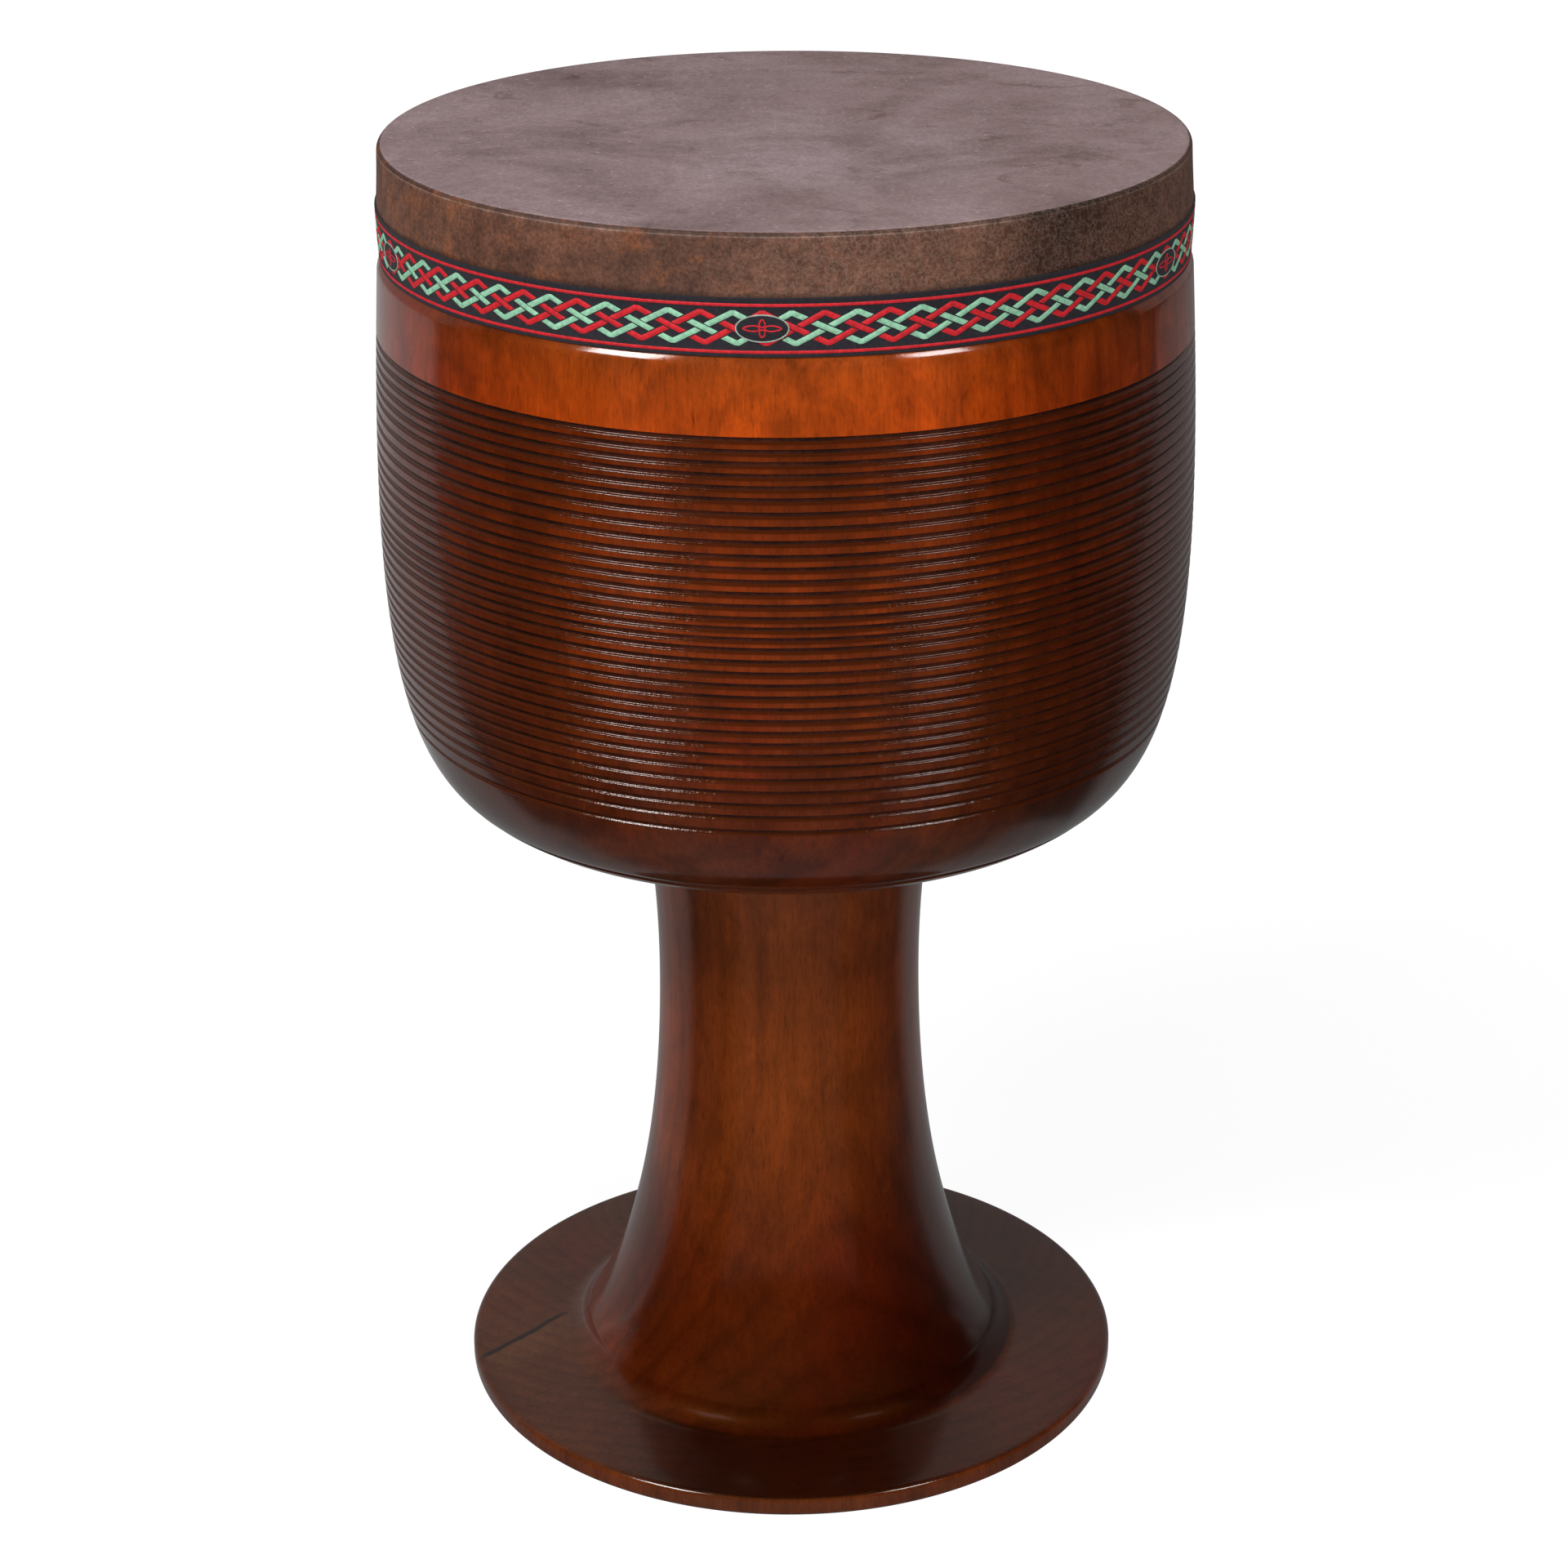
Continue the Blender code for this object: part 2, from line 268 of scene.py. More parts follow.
def blend_colours(material, kind, share, first, second):
    node = add_node(material, "ShaderNodeMix", data_type="RGBA", blend_type=kind)
    sockets = node.inputs["Factor"], node.inputs[6], node.inputs[7]
    for socket, value in zip(sockets, (share, first, second)):
        if isinstance(value, bpy.types.NodeSocket):
            join(material, value, socket)
        elif isinstance(value, tuple):
            socket.default_value = (*value, 1.0)
        else:
            socket.default_value = value
    return node.outputs[2]


STAIN_COLOUR = 0.050, 0.0085, 0.0018


def stained_groove():
    """Dark stain that has settled in the grooves, under thin and pitted lacquer, with painted shade towards the bowl's
    left and right sides.
    """
    cut = bpy.data.materials.new("stained_groove")
    cut.use_nodes = True
    shader = cut.node_tree.nodes["Principled BSDF"]
    place = add_node(cut, "ShaderNodeTexCoord").outputs["Object"]
    patches = stretched_noise(cut, place, (1.0, 1.0, 1.0), 60.0, 4.0, 0.6)
    patch_tone = ramp(cut, patches, (0.36, (0.6, 0.6, 0.62)), (0.64, (1.3, 1.25, 1.2)))
    colour = blend_colours(cut, "MULTIPLY", 1.0, STAIN_COLOUR, patch_tone)
    parts = add_node(cut, "ShaderNodeSeparateXYZ")
    join(cut, place, parts.inputs[0])
    # Painted shade: the stain darkens towards the bowl's left and right sides.
    off_middle = math_node(cut, "ABSOLUTE", math_node(cut, "SUBTRACT", parts.outputs["X"], 0.008))
    colour = blend_colours(cut, "MULTIPLY", smooth_step(cut, off_middle, 0.05, 0.1), colour, (0.4, 0.58, 0.8))
    beads = stretched_noise(cut, place, (1.0, 1.0, 1.0), 800.0, 3.0, 0.6)
    bead_tone = ramp(cut, beads, (0.35, (0.7, 0.7, 0.7)), (0.65, (1.3, 1.3, 1.3)))
    join(cut, blend_colours(cut, "MULTIPLY", 1.0, colour, bead_tone), shader.inputs["Base Color"])
    bump = add_node(cut, "ShaderNodeBump")
    bump.inputs["Strength"].default_value = 0.8
    bump.inputs["Distance"].default_value = 0.3 * MM
    join(cut, beads, bump.inputs["Height"])
    join(cut, bump.outputs[0], shader.inputs["Normal"])
    join(cut, bump.outputs[0], shader.inputs["Coat Normal"])
    shader.inputs["Roughness"].default_value = 0.55
    shader.inputs["Specular IOR Level"].default_value = 0.15
    shader.inputs["Coat Weight"].default_value = 0.24
    shader.inputs["Coat Roughness"].default_value = 0.12
    return cut


def smooth_step(material, value, start, end):
    """From 0 to 1 as a value goes from a start to an end, in either direction."""
    node = add_node(material, "ShaderNodeMapRange", interpolation_type="SMOOTHSTEP")
    join(material, value, node.inputs["Value"])
    node.inputs["From Min"].default_value = start
    node.inputs["From Max"].default_value = end
    return node.outputs[0]


def lacquered_walnut(name, tones, patches, pith, ring_width, ring_share, mottle_share):
    """Walnut under clear lacquer: growth rings round an upright pith, fibres, pores and mottle.

    tones are the colour by height, as (height, colour), from the lowest up. patches are parts of another
    tone, most of them painted light and shade, as (kind, x where it starts and is full, height where it starts and is
    full, tone).
    """
    wood = bpy.data.materials.new(name)
    wood.use_nodes = True
    shader = wood.node_tree.nodes["Principled BSDF"]
    place = add_node(wood, "ShaderNodeTexCoord").outputs["Object"]
    parts = add_node(wood, "ShaderNodeSeparateXYZ")
    join(wood, place, parts.inputs[0])
    lowest, highest = tones[0][0], tones[-1][0]
    climb = add_node(wood, "ShaderNodeMapRange")
    join(wood, parts.outputs["Z"], climb.inputs["Value"])
    climb.inputs["From Min"].default_value = lowest
    climb.inputs["From Max"].default_value = highest
    stops = [((height - lowest) / (highest - lowest), colour) for height, colour in tones]
    colour = ramp(wood, climb.outputs[0], *stops)
    for kind, across, up, tone in patches:
        share = math_node(wood, "MULTIPLY", smooth_step(wood, parts.outputs["X"], *across),
                          smooth_step(wood, parts.outputs["Z"], *up))
        colour = blend_colours(wood, kind, share, colour, tone)
    wander = stretched_noise(wood, place, (1.0, 1.0, 0.25), 9.0, 3.0)
    away_x = math_node(wood, "SUBTRACT", parts.outputs["X"], pith[0])
    away_y = math_node(wood, "SUBTRACT", parts.outputs["Y"], pith[1])
    away = math_node(wood, "SQRT", math_node(wood, "ADD", math_node(wood, "MULTIPLY", away_x, away_x),
                                             math_node(wood, "MULTIPLY", away_y, away_y)))
    rings = math_node(wood, "ADD", math_node(wood, "DIVIDE", away, ring_width),
                      math_node(wood, "MULTIPLY", wander, 2.6))
    ring = math_node(wood, "FRACT", rings)
    ring_tone = ramp(wood, ring, (0.0, (0.66, 0.62, 0.6)), (0.2, (0.96, 0.96, 0.96)),
                     (0.7, (1.16, 1.15, 1.1)), (1.0, (0.6, 0.55, 0.52)))
    colour = blend_colours(wood, "MULTIPLY", ring_share, colour, ring_tone)
    fibres = stretched_noise(wood, place, (1.0, 1.0, 0.045), 420.0, 3.0, 0.6)
    fibre_tone = ramp(wood, fibres, (0.3, (0.66, 0.6, 0.55)), (0.62, (1.12, 1.1, 1.08)))
    colour = blend_colours(wood, "MULTIPLY", 0.42, colour, fibre_tone)
    mottle = stretched_noise(wood, place, (1.0, 1.0, 0.7), 62.0, 6.0, 0.66, 0.6)
    mottle_tone = ramp(wood, mottle, (0.36, (0.62, 0.6, 0.62)), (0.62, (1.22, 1.15, 1.0)))
    colour = blend_colours(wood, "MULTIPLY", mottle_share, colour, mottle_tone)
    glow = stretched_noise(wood, place, (1.0, 1.0, 0.6), 11.0, 2.0, 0.5)
    glow_tone = ramp(wood, glow, (0.35, (0.86, 0.9, 0.95)), (0.46, (1.0, 1.0, 1.0)), (0.56, (1.05, 1.0, 1.0)),
                     (0.7, (1.12, 0.66, 0.5)))
    colour = blend_colours(wood, "MULTIPLY", 1.0, colour, glow_tone)
    flames = stretched_noise(wood, place, (1.0, 1.0, 0.2), 230.0, 5.0, 0.62, 0.9)
    flame_tone = ramp(wood, flames, (0.26, (0.36, 0.28, 0.24)), (0.35, (1.0, 1.0, 1.0)))
    colour = blend_colours(wood, "MULTIPLY", 0.75, colour, flame_tone)
    pores = stretched_noise(wood, place, (1.0, 1.0, 0.16), 1300.0, 3.0, 0.6, 0.3)
    pore_tone = ramp(wood, pores, (0.36, (0.6, 0.55, 0.5)), (0.48, (1.0, 1.0, 1.0)), (0.66, (1.15, 1.12, 1.1)))
    colour = blend_colours(wood, "MULTIPLY", 0.48, colour, pore_tone)
    stain = add_node(wood, "ShaderNodeAttribute", attribute_name="stain").outputs["Fac"]
    colour = blend_colours(wood, "MIX", math_node(wood, "MULTIPLY", stain, 1.05), colour, STAIN_COLOUR)
    join(wood, colour, shader.inputs["Base Color"])
    brushed = math_node(wood, "ADD", stretched_noise(wood, place, (1.0, 1.0, 1.0), 380.0, 3.0, 0.6),
                        math_node(wood, "MULTIPLY", stretched_noise(wood, place, (1.0, 1.0, 1.0), 1500.0, 2.0, 0.6), 0.28))
    pitted = math_node(wood, "ADD", math_node(wood, "MULTIPLY", stain, brushed),
                       math_node(wood, "MULTIPLY", pores, 0.1))
    bump = add_node(wood, "ShaderNodeBump")
    bump.inputs["Strength"].default_value = 0.8
    bump.inputs["Distance"].default_value = 0.25 * MM
    join(wood, pitted, bump.inputs["Height"])
    join(wood, bump.outputs[0], shader.inputs["Normal"])
    join(wood, bump.outputs[0], shader.inputs["Coat Normal"])
    shader.inputs["Roughness"].default_value = 0.45
    shader.inputs["Specular IOR Level"].default_value = 0.15
    shader.inputs["Specular Tint"].default_value = (1.0, 0.34, 0.07, 1.0)
    shader.inputs["Coat Weight"].default_value = 1.0
    shader.inputs["Coat Roughness"].default_value = 0.1
    shader.inputs["Coat IOR"].default_value = 1.5
    return wood


bowl_walnut = lacquered_walnut(
    "bowl_walnut",
    ((0.225, (0.085, 0.017, 0.004)), (0.262, (0.088, 0.017, 0.004)), (0.285, (0.102, 0.0185, 0.0035)),
     (0.31, (0.13, 0.021, 0.0025)), (0.35, (0.165, 0.0235, 0.0015)), (0.385, (0.14, 0.019, 0.0012)),
     (0.3985, (0.145, 0.0195, 0.0012)), (0.4, (0.42, 0.055, 0.002)), (0.418, (0.375, 0.058, 0.004)),
     (0.426, (0.25, 0.047, 0.008)), (0.46, (0.25, 0.047, 0.008))),
    # Painted shade: the band and the grooves are darker towards the drum's left and right sides, where the light falls
    # off.
    (("MULTIPLY", (-0.032, -0.1), (0.4, 0.396), (0.58, 0.53, 0.47)),
     ("MULTIPLY", (-0.030, -0.105), (0.396, 0.4), (0.5, 0.46, 0.38)),
     ("MULTIPLY", (0.042, 0.085), (0.396, 0.4), (0.55, 0.5, 0.45)),
     ("MULTIPLY", (0.045, 0.088), (0.4, 0.396), (0.5, 0.46, 0.42))),
    pith=(0.10, 0.16), ring_width=9.0 * MM, ring_share=0.5, mottle_share=0.85)
bowl = turn("turned_bowl", bowl_section(), bowl_walnut, around=152, stained=stained_groove())
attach(bowl, "root")
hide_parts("bowl")

# Neck and foot. The hollow neck, its trumpet flare and the flat foot are one turned piece of
# darker walnut, glued into a socket under the bowl. The flare runs into the foot in a round cove.
SPIGOT_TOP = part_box("neck_and_foot")[1].z
FOOT_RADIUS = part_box("neck_and_foot")[1].x
SPIGOT_RADIUS = 41.5 * MM
WAIST_RADIUS = 47.1 * MM
WAIST_HEIGHT = 160.0 * MM
FLARE_RADIUS = 76.06 * MM
FLARE_HEIGHT = 16.09 * MM
COVE_RADIUS = 12.0 * MM
COVE_END = 87.37 * MM
COVE_START = 199.5
TREAD_HEIGHT = 8.1 * MM
FOOT_EDGE = 7.6 * MM
FOOT_ROUND = 2.4 * MM
FOOT_MOUTH = 72.0 * MM


def neck_section():
    shoulder = JOINT_HEIGHT - 0.3 * MM
    points = [(SPIGOT_RADIUS, SPIGOT_TOP), (SPIGOT_RADIUS, shoulder)]
    for i in range(13):
        share = 1 - i / 12
        swell = (NECK_TOP_RADIUS - WAIST_RADIUS) * share ** 2
        points.append((WAIST_RADIUS + swell, WAIST_HEIGHT + (shoulder - WAIST_HEIGHT) * share))
    points += curve((WAIST_RADIUS, WAIST_HEIGHT), (WAIST_RADIUS, WAIST_HEIGHT - 107.5 * MM),
                    (FLARE_RADIUS - 0.63 * MM, FLARE_HEIGHT + 1.76 * MM), (FLARE_RADIUS, FLARE_HEIGHT), 70)[1:]
    points += arc((COVE_END, TREAD_HEIGHT + COVE_RADIUS), COVE_RADIUS, COVE_START, 270, 18)[1:]
    tread_end = FOOT_RADIUS - FOOT_ROUND
    for share in (0.25, 0.5, 0.75):
        points.append((COVE_END + (tread_end - COVE_END) * share, TREAD_HEIGHT + (FOOT_EDGE - TREAD_HEIGHT) * share))
    points += arc((tread_end, FOOT_EDGE - FOOT_ROUND), FOOT_ROUND, 90, 0, 8)
    points += arc((tread_end, FOOT_ROUND), FOOT_ROUND, 0, -90, 8)
    points += curve((FOOT_MOUTH, 0.0), (40.8 * MM, 44 * MM), (BORE_RADIUS, 75 * MM), (BORE_RADIUS, WAIST_HEIGHT), 40)
    points.append((BORE_RADIUS, SPIGOT_TOP))
    return points


neck_walnut = lacquered_walnut(
    "neck_walnut",
    # By height the colour is darkest in the flare and foot and lightest at the neck's top, which is painted light where
    # the bowl's shadow falls.
    ((0.0, (0.034, 0.0044, 0.0004)), (0.014, (0.034, 0.0044, 0.0004)), (0.03, (0.056, 0.0072, 0.0004)),
     (0.06, (0.082, 0.0105, 0.0004)), (0.12, (0.178, 0.034, 0.004)), (0.18, (0.18, 0.036, 0.006)),
     (0.21, (0.215, 0.047, 0.010)), (0.235, (0.22, 0.048, 0.011))),
    # Painted light and shade: darker on the right of the neck and flare, lighter low on the left of the flare and foot,
    # painted reflections of the white background on the flare's left edge and on both edges of the neck, and painted
    # shade either side of the neck's lit middle.
    (("MULTIPLY", (0.0, 0.05), (0.15, 0.1), (0.5, 0.46, 0.5)),
     ("MULTIPLY", (-0.005, -0.05), (0.032, 0.018), (1.5, 1.5, 1.5)),
     ("MULTIPLY", (-0.052, -0.07), (0.07, 0.035), (2.2, 2.4, 2.6)),
     ("MULTIPLY", (0.043, 0.0485), (0.08, 0.12), (1.7, 1.25, 1.1)),
     ("MULTIPLY", (-0.014, -0.034), (0.09, 0.12), (0.62, 0.56, 0.5)),
     ("MULTIPLY", (0.014, 0.034), (0.11, 0.135), (0.75, 0.7, 0.65)),
     ("MULTIPLY", (-0.035, -0.045), (0.08, 0.12), (1.75, 1.6, 1.5)),
     # The foot's flat top is dark, painted shade at its front, with painted light from the backdrop towards its left
     # and right. Its rim's side has a lighter tone of its own.
     ("MIX", (-1.0, -0.9), (0.0093, 0.0085), (0.020, 0.0032, 0.0004)),
     ("MIX", (-0.03, -0.08), (0.015, 0.0085), (0.08, 0.023, 0.0085)),
     ("MIX", (0.03, 0.08), (0.0093, 0.0085), (0.057, 0.0125, 0.004)),
     ("MIX", (-1.0, -0.9), (0.0074, 0.0064), (0.11, 0.024, 0.006))),
    pith=(-0.03, 0.09), ring_width=7.0 * MM, ring_share=0.4, mottle_share=0.55)


def drying_check(wood):
    """A thin dark crack along the grain in the foot's flat top, with paler figure beside it."""
    shader = wood.node_tree.nodes["Principled BSDF"]
    colour = shader.inputs["Base Color"].links[0].from_socket
    place = add_node(wood, "ShaderNodeTexCoord").outputs["Object"]
    parts = add_node(wood, "ShaderNodeSeparateXYZ")
    join(wood, place, parts.inputs[0])
    ways = []
    for way in ((0.684, 0.728, 0.0), (-0.728, 0.684, 0.0)):
        dot = add_node(wood, "ShaderNodeVectorMath", operation="DOT_PRODUCT")
        join(wood, place, dot.inputs[0])
        dot.inputs[1].default_value = way
        ways.append(dot.outputs["Value"])
    along, across = ways
    wander = stretched_noise(wood, place, (1.0, 1.0, 1.0), 60.0, 2.0)
    bent = math_node(wood, "ADD", across, math_node(wood, "MULTIPLY", math_node(wood, "SUBTRACT", wander, 0.5), 4 * MM))
    off_line = math_node(wood, "ABSOLUTE", math_node(wood, "SUBTRACT", bent, 66.0 * MM))
    reach = math_node(wood, "MULTIPLY", smooth_step(wood, along, -0.101, -0.095), smooth_step(wood, along, -0.052, -0.06))
    reach = math_node(wood, "MULTIPLY", reach, smooth_step(wood, parts.outputs["Z"], 0.009, 0.0084))
    figure = math_node(wood, "MULTIPLY", smooth_step(wood, bent, 0.046, 0.062), smooth_step(wood, bent, 0.068, 0.066))
    colour = blend_colours(wood, "MULTIPLY", math_node(wood, "MULTIPLY", figure, reach), colour, (1.3, 1.55, 1.6))
    line = math_node(wood, "MULTIPLY", reach, smooth_step(wood, off_line, 0.0017, 0.0005))
    colour = blend_colours(wood, "MIX", math_node(wood, "MULTIPLY", line, 0.9), colour, (0.003, 0.0015, 0.002))
    join(wood, colour, shader.inputs["Base Color"])


def dull_cove(wood):
    """The polishing pad missed the hollow of the cove at the front, so the lacquer is thin there."""
    parts = add_node(wood, "ShaderNodeSeparateXYZ")
    join(wood, add_node(wood, "ShaderNodeTexCoord").outputs["Object"], parts.inputs[0])
    hollow = math_node(wood, "MULTIPLY", smooth_step(wood, parts.outputs["Z"], 0.0081, 0.0086),
                       smooth_step(wood, parts.outputs["Z"], 0.021, 0.0145))
    front = smooth_step(wood, math_node(wood, "ABSOLUTE", parts.outputs["X"]), 0.066, 0.05)
    right = math_node(wood, "MULTIPLY", smooth_step(wood, parts.outputs["X"], 0.055, 0.065), 0.55)
    hollow = math_node(wood, "MULTIPLY", hollow, math_node(wood, "MAXIMUM", front, right))
    coat = wood.node_tree.nodes["Principled BSDF"].inputs["Coat Weight"]
    join(wood, math_node(wood, "SUBTRACT", 1.0, math_node(wood, "MULTIPLY", hollow, 0.985)), coat)


drying_check(neck_walnut)
dull_cove(neck_walnut)
neck = turn("turned_neck_and_foot", neck_section(), neck_walnut)
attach(neck, "root")
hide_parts("neck_and_foot")

# Head. It is one dyed goat hide, soaked, pulled over the mouth and glued down the outside of
# the wall. It dries drum tight, with a soft round edge and a skirt that the ribbon covers.
SKIN_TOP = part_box("drum_skin")[1].z
SKIRT_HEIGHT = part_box("drum_skin")[0].z
SKIN_OUT = 0.4 * MM
HIDE_THICK = 0.95 * MM
SKIN_ROUND = 2.0 * MM
RIBBON_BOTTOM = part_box("ribbon")[0].z - 0.25 * MM
RIBBON_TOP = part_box("ribbon")[1].z + 0.15 * MM
RIBBON_LEAN = 1.85 * MM


def hide_rise(height):
    """How far the hide stands out from the wall. It goes in under the ribbon, towards its lower edge."""
    share = (RIBBON_TOP - height) / (RIBBON_TOP - RIBBON_BOTTOM)
    return SKIN_OUT - RIBBON_LEAN * max(0.0, share)


def skin_section():
    corner = MOUTH_RADIUS + SKIN_OUT - SKIN_ROUND, SKIN_TOP - SKIN_ROUND
    outer = [(corner[0] * i / 46, SKIN_TOP) for i in range(1, 46)]
    outer += arc(corner, SKIN_ROUND, 90, 0, 10)
    heights = [corner[1] + (SKIRT_HEIGHT - corner[1]) * i / 14 for i in range(1, 15)]
    outer += [(wall_radius(height) + hide_rise(height), height) for height in heights]
    inner = [(wall_radius(height) + hide_rise(height) - HIDE_THICK, height) for height in reversed(heights)]
    inner_round = 1.2 * MM
    inner_corner = MOUTH_RADIUS + SKIN_OUT - HIDE_THICK - inner_round, SKIN_TOP - HIDE_THICK - inner_round
    inner += arc(inner_corner, inner_round, 0, 90, 4)
    return outer, inner


def hide_mesh(material, around=240):
    """The hide's outside and inside as one closed body, with a point in the middle of each."""
    rng = random.Random(11)
    waves = [(rng.uniform(2, 9), rng.uniform(0, 6.3), rng.uniform(30, 90)) for _ in range(7)]
    outer, inner = skin_section()
    section = outer + inner
    points, faces = [], []
    for k in range(around):
        angle = 2 * math.pi * k / around
        for i, (r, z) in enumerate(section):
            lift = 0.0
            if i < len(outer):
                drop = max(0.0, SKIN_TOP - z)
                for turns, phase, tall in waves:
                    lift += 0.05 * MM * math.sin(round(turns) * angle + phase + drop * tall * 3) * min(1, r / 0.13)
            points.append(((r + lift * (z < SKIN_TOP - 1 * MM)) * math.sin(angle),
                           -(r + lift * (z < SKIN_TOP - 1 * MM)) * math.cos(angle), z))
    top = len(points)
    points.append((0.0, 0.0, SKIN_TOP))
    under = len(points)
    points.append((0.0, 0.0, SKIN_TOP - HIDE_THICK))
    count = len(section)
    for k in range(around):
        here, there = k * count, (k + 1) % around * count
        faces.append((top, here, there))
        for i in range(count - 1):
            faces.append((here + i, here + i + 1, there + i + 1, there + i))
        faces.append((here + count - 1, under, there + count - 1))
    return link_piece("hide_head", points, faces, material)


def dyed_hide():
    hide = bpy.data.materials.new("dyed_hide")
    hide.use_nodes = True
    shader = hide.node_tree.nodes["Principled BSDF"]
    place = add_node(hide, "ShaderNodeTexCoord").outputs["Object"]
    parts = add_node(hide, "ShaderNodeSeparateXYZ")
    join(hide, place, parts.inputs[0])
    depth = add_node(hide, "ShaderNodeMapRange")
    join(hide, parts.outputs["Z"], depth.inputs["Value"])
    depth.inputs["From Min"].default_value = SKIN_TOP - 3.0 * MM
    depth.inputs["From Max"].default_value = SKIN_TOP
    top_share = ramp(hide, depth.outputs[0], (0.9, (0.0, 0.0, 0.0)), (0.97, (1.0, 1.0, 1.0)))
    # Around the round edge: the skirt's colour, then a painted highlight as a pale line 1.3 to 1.5 mm under the top,
    # then darker up to the top.
    edge_tone = ramp(hide, depth.outputs[0], (0.12, (0.122, 0.048, 0.026)), (0.44, (0.138, 0.062, 0.039)),
                     (0.5, (0.19, 0.11, 0.08)), (0.56, (0.19, 0.11, 0.08)), (0.62, (0.07, 0.03, 0.018)),
                     (1.0, (0.07, 0.03, 0.018)))
    colour = blend_colours(hide, "MIX", top_share, edge_tone, (0.284, 0.197, 0.198))
    clouds = stretched_noise(hide, place, (1.0, 0.9, 1.0), 15.0, 7.0, 0.66, 0.5)
    cloud_tone = ramp(hide, clouds, (0.36, (0.66, 0.62, 0.61)), (0.5, (1.0, 0.99, 1.0)), (0.64, (1.24, 1.28, 1.32)))
    colour = blend_colours(hide, "MULTIPLY", 0.85, colour, cloud_tone)
    smudges = stretched_noise(hide, place, (1.0, 1.3, 1.0), 38.0, 5.0, 0.7, 0.8)
    smudge_tone = ramp(hide, smudges, (0.33, (0.6, 0.56, 0.54)), (0.41, (1.0, 1.0, 1.0)))
    colour = blend_colours(hide, "MULTIPLY", 0.8, colour, smudge_tone)
    worn = add_node(hide, "ShaderNodeVectorMath", operation="DISTANCE")
    join(hide, place, worn.inputs[0])
    worn.inputs[1].default_value = (0.02, -0.034, SKIN_TOP)
    worn_share = math_node(hide, "MULTIPLY", smooth_step(hide, worn.outputs["Value"], 0.065, 0.01), clouds)
    colour = blend_colours(hide, "MULTIPLY", worn_share, colour, (1.3, 1.46, 1.56))
    streaks = stretched_noise(hide, place, (0.3, 1.0, 1.0), 130.0, 4.0, 0.6)
    streak_tone = ramp(hide, streaks, (0.34, (0.86, 0.85, 0.85)), (0.66, (1.12, 1.12, 1.12)))
    colour = blend_colours(hide, "MULTIPLY", 0.25, colour, streak_tone)
    skirt_only = math_node(hide, "SUBTRACT", 1.0, top_share)
    leftward = add_node(hide, "ShaderNodeMapRange")
    join(hide, parts.outputs["X"], leftward.inputs["Value"])
    leftward.inputs["From Min"].default_value = 0.02
    leftward.inputs["From Max"].default_value = -0.05
    rust = stretched_noise(hide, place, (1.0, 1.0, 1.3), 62.0, 5.0, 0.62)
    rust_share = ramp(hide, rust, (0.53, (0.0, 0.0, 0.0)), (0.68, (0.75, 0.75, 0.75)))
    rust_skirt = blend_colours(hide, "MULTIPLY", 1.0, rust_share, skirt_only)
    rust_skirt = blend_colours(hide, "MULTIPLY", 1.0, rust_skirt, leftward.outputs[0])
    colour = blend_colours(hide, "MIX", rust_skirt, colour, (0.21, 0.062, 0.017))
    blotches = stretched_noise(hide, place, (1.0, 1.0, 1.0), 170.0, 4.0, 0.65)
    blotch_tone = ramp(hide, blotches, (0.4, (0.74, 0.71, 0.7)), (0.6, (1.22, 1.21, 1.2)))
    colour = blend_colours(hide, "MULTIPLY", math_node(hide, "ADD", math_node(hide, "MULTIPLY", skirt_only, 0.6), 0.2),
                           colour, blotch_tone)
    grain = stretched_noise(hide, place, (1.0, 1.0, 1.0), 850.0, 4.0, 0.7)
    grain_tone = ramp(hide, grain, (0.4, (0.62, 0.6, 0.6)), (0.6, (1.36, 1.36, 1.36)))
    grain_share = math_node(hide, "ADD", math_node(hide, "MULTIPLY", skirt_only, 0.3), 0.4)
    colour = blend_colours(hide, "MULTIPLY", grain_share, colour, grain_tone)
    specks = stretched_noise(hide, place, (1.0, 1.0, 1.0), 520.0, 2.0, 0.5)
    speck_share = ramp(hide, specks, (0.68, (0.0, 0.0, 0.0)), (0.72, (0.6, 0.6, 0.6)))
    colour = blend_colours(hide, "MIX", blend_colours(hide, "MULTIPLY", 1.0, speck_share, top_share), colour,
                           (0.55, 0.44, 0.42))
    far_right = add_node(hide, "ShaderNodeMapRange")
    join(hide, parts.outputs["X"], far_right.inputs["Value"])
    far_right.inputs["From Min"].default_value = 0.055
    far_right.inputs["From Max"].default_value = 0.13
    dark_share = ramp(hide, far_right.outputs[0], (0.0, (0.0, 0.0, 0.0)), (0.4, (0.66, 0.66, 0.66)),
                      (0.6, (0.58, 0.58, 0.58)), (0.77, (0.42, 0.42, 0.42)), (0.95, (0.1, 0.1, 0.1)))
    dark_side = blend_colours(hide, "MULTIPLY", 1.0, dark_share, skirt_only)
    colour = blend_colours(hide, "MULTIPLY", dark_side, colour, (0.2, 0.17, 0.15))
    crackle = stretched_noise(hide, place, (1.0, 1.0, 1.0), 420.0, 4.0, 0.7)
    near_half = math_node(hide, "ABSOLUTE", math_node(hide, "SUBTRACT", crackle, 0.5))
    dusty = ramp(hide, near_half, (0.0, (0.42, 0.42, 0.42)), (0.035, (0.0, 0.0, 0.0)))
    rightward = math_node(hide, "SUBTRACT", 1.0, leftward.outputs[0])
    dusty = blend_colours(hide, "MULTIPLY", 1.0, dusty, rightward)
    colour = blend_colours(hide, "MIX", dusty, colour, (0.3, 0.2, 0.15))
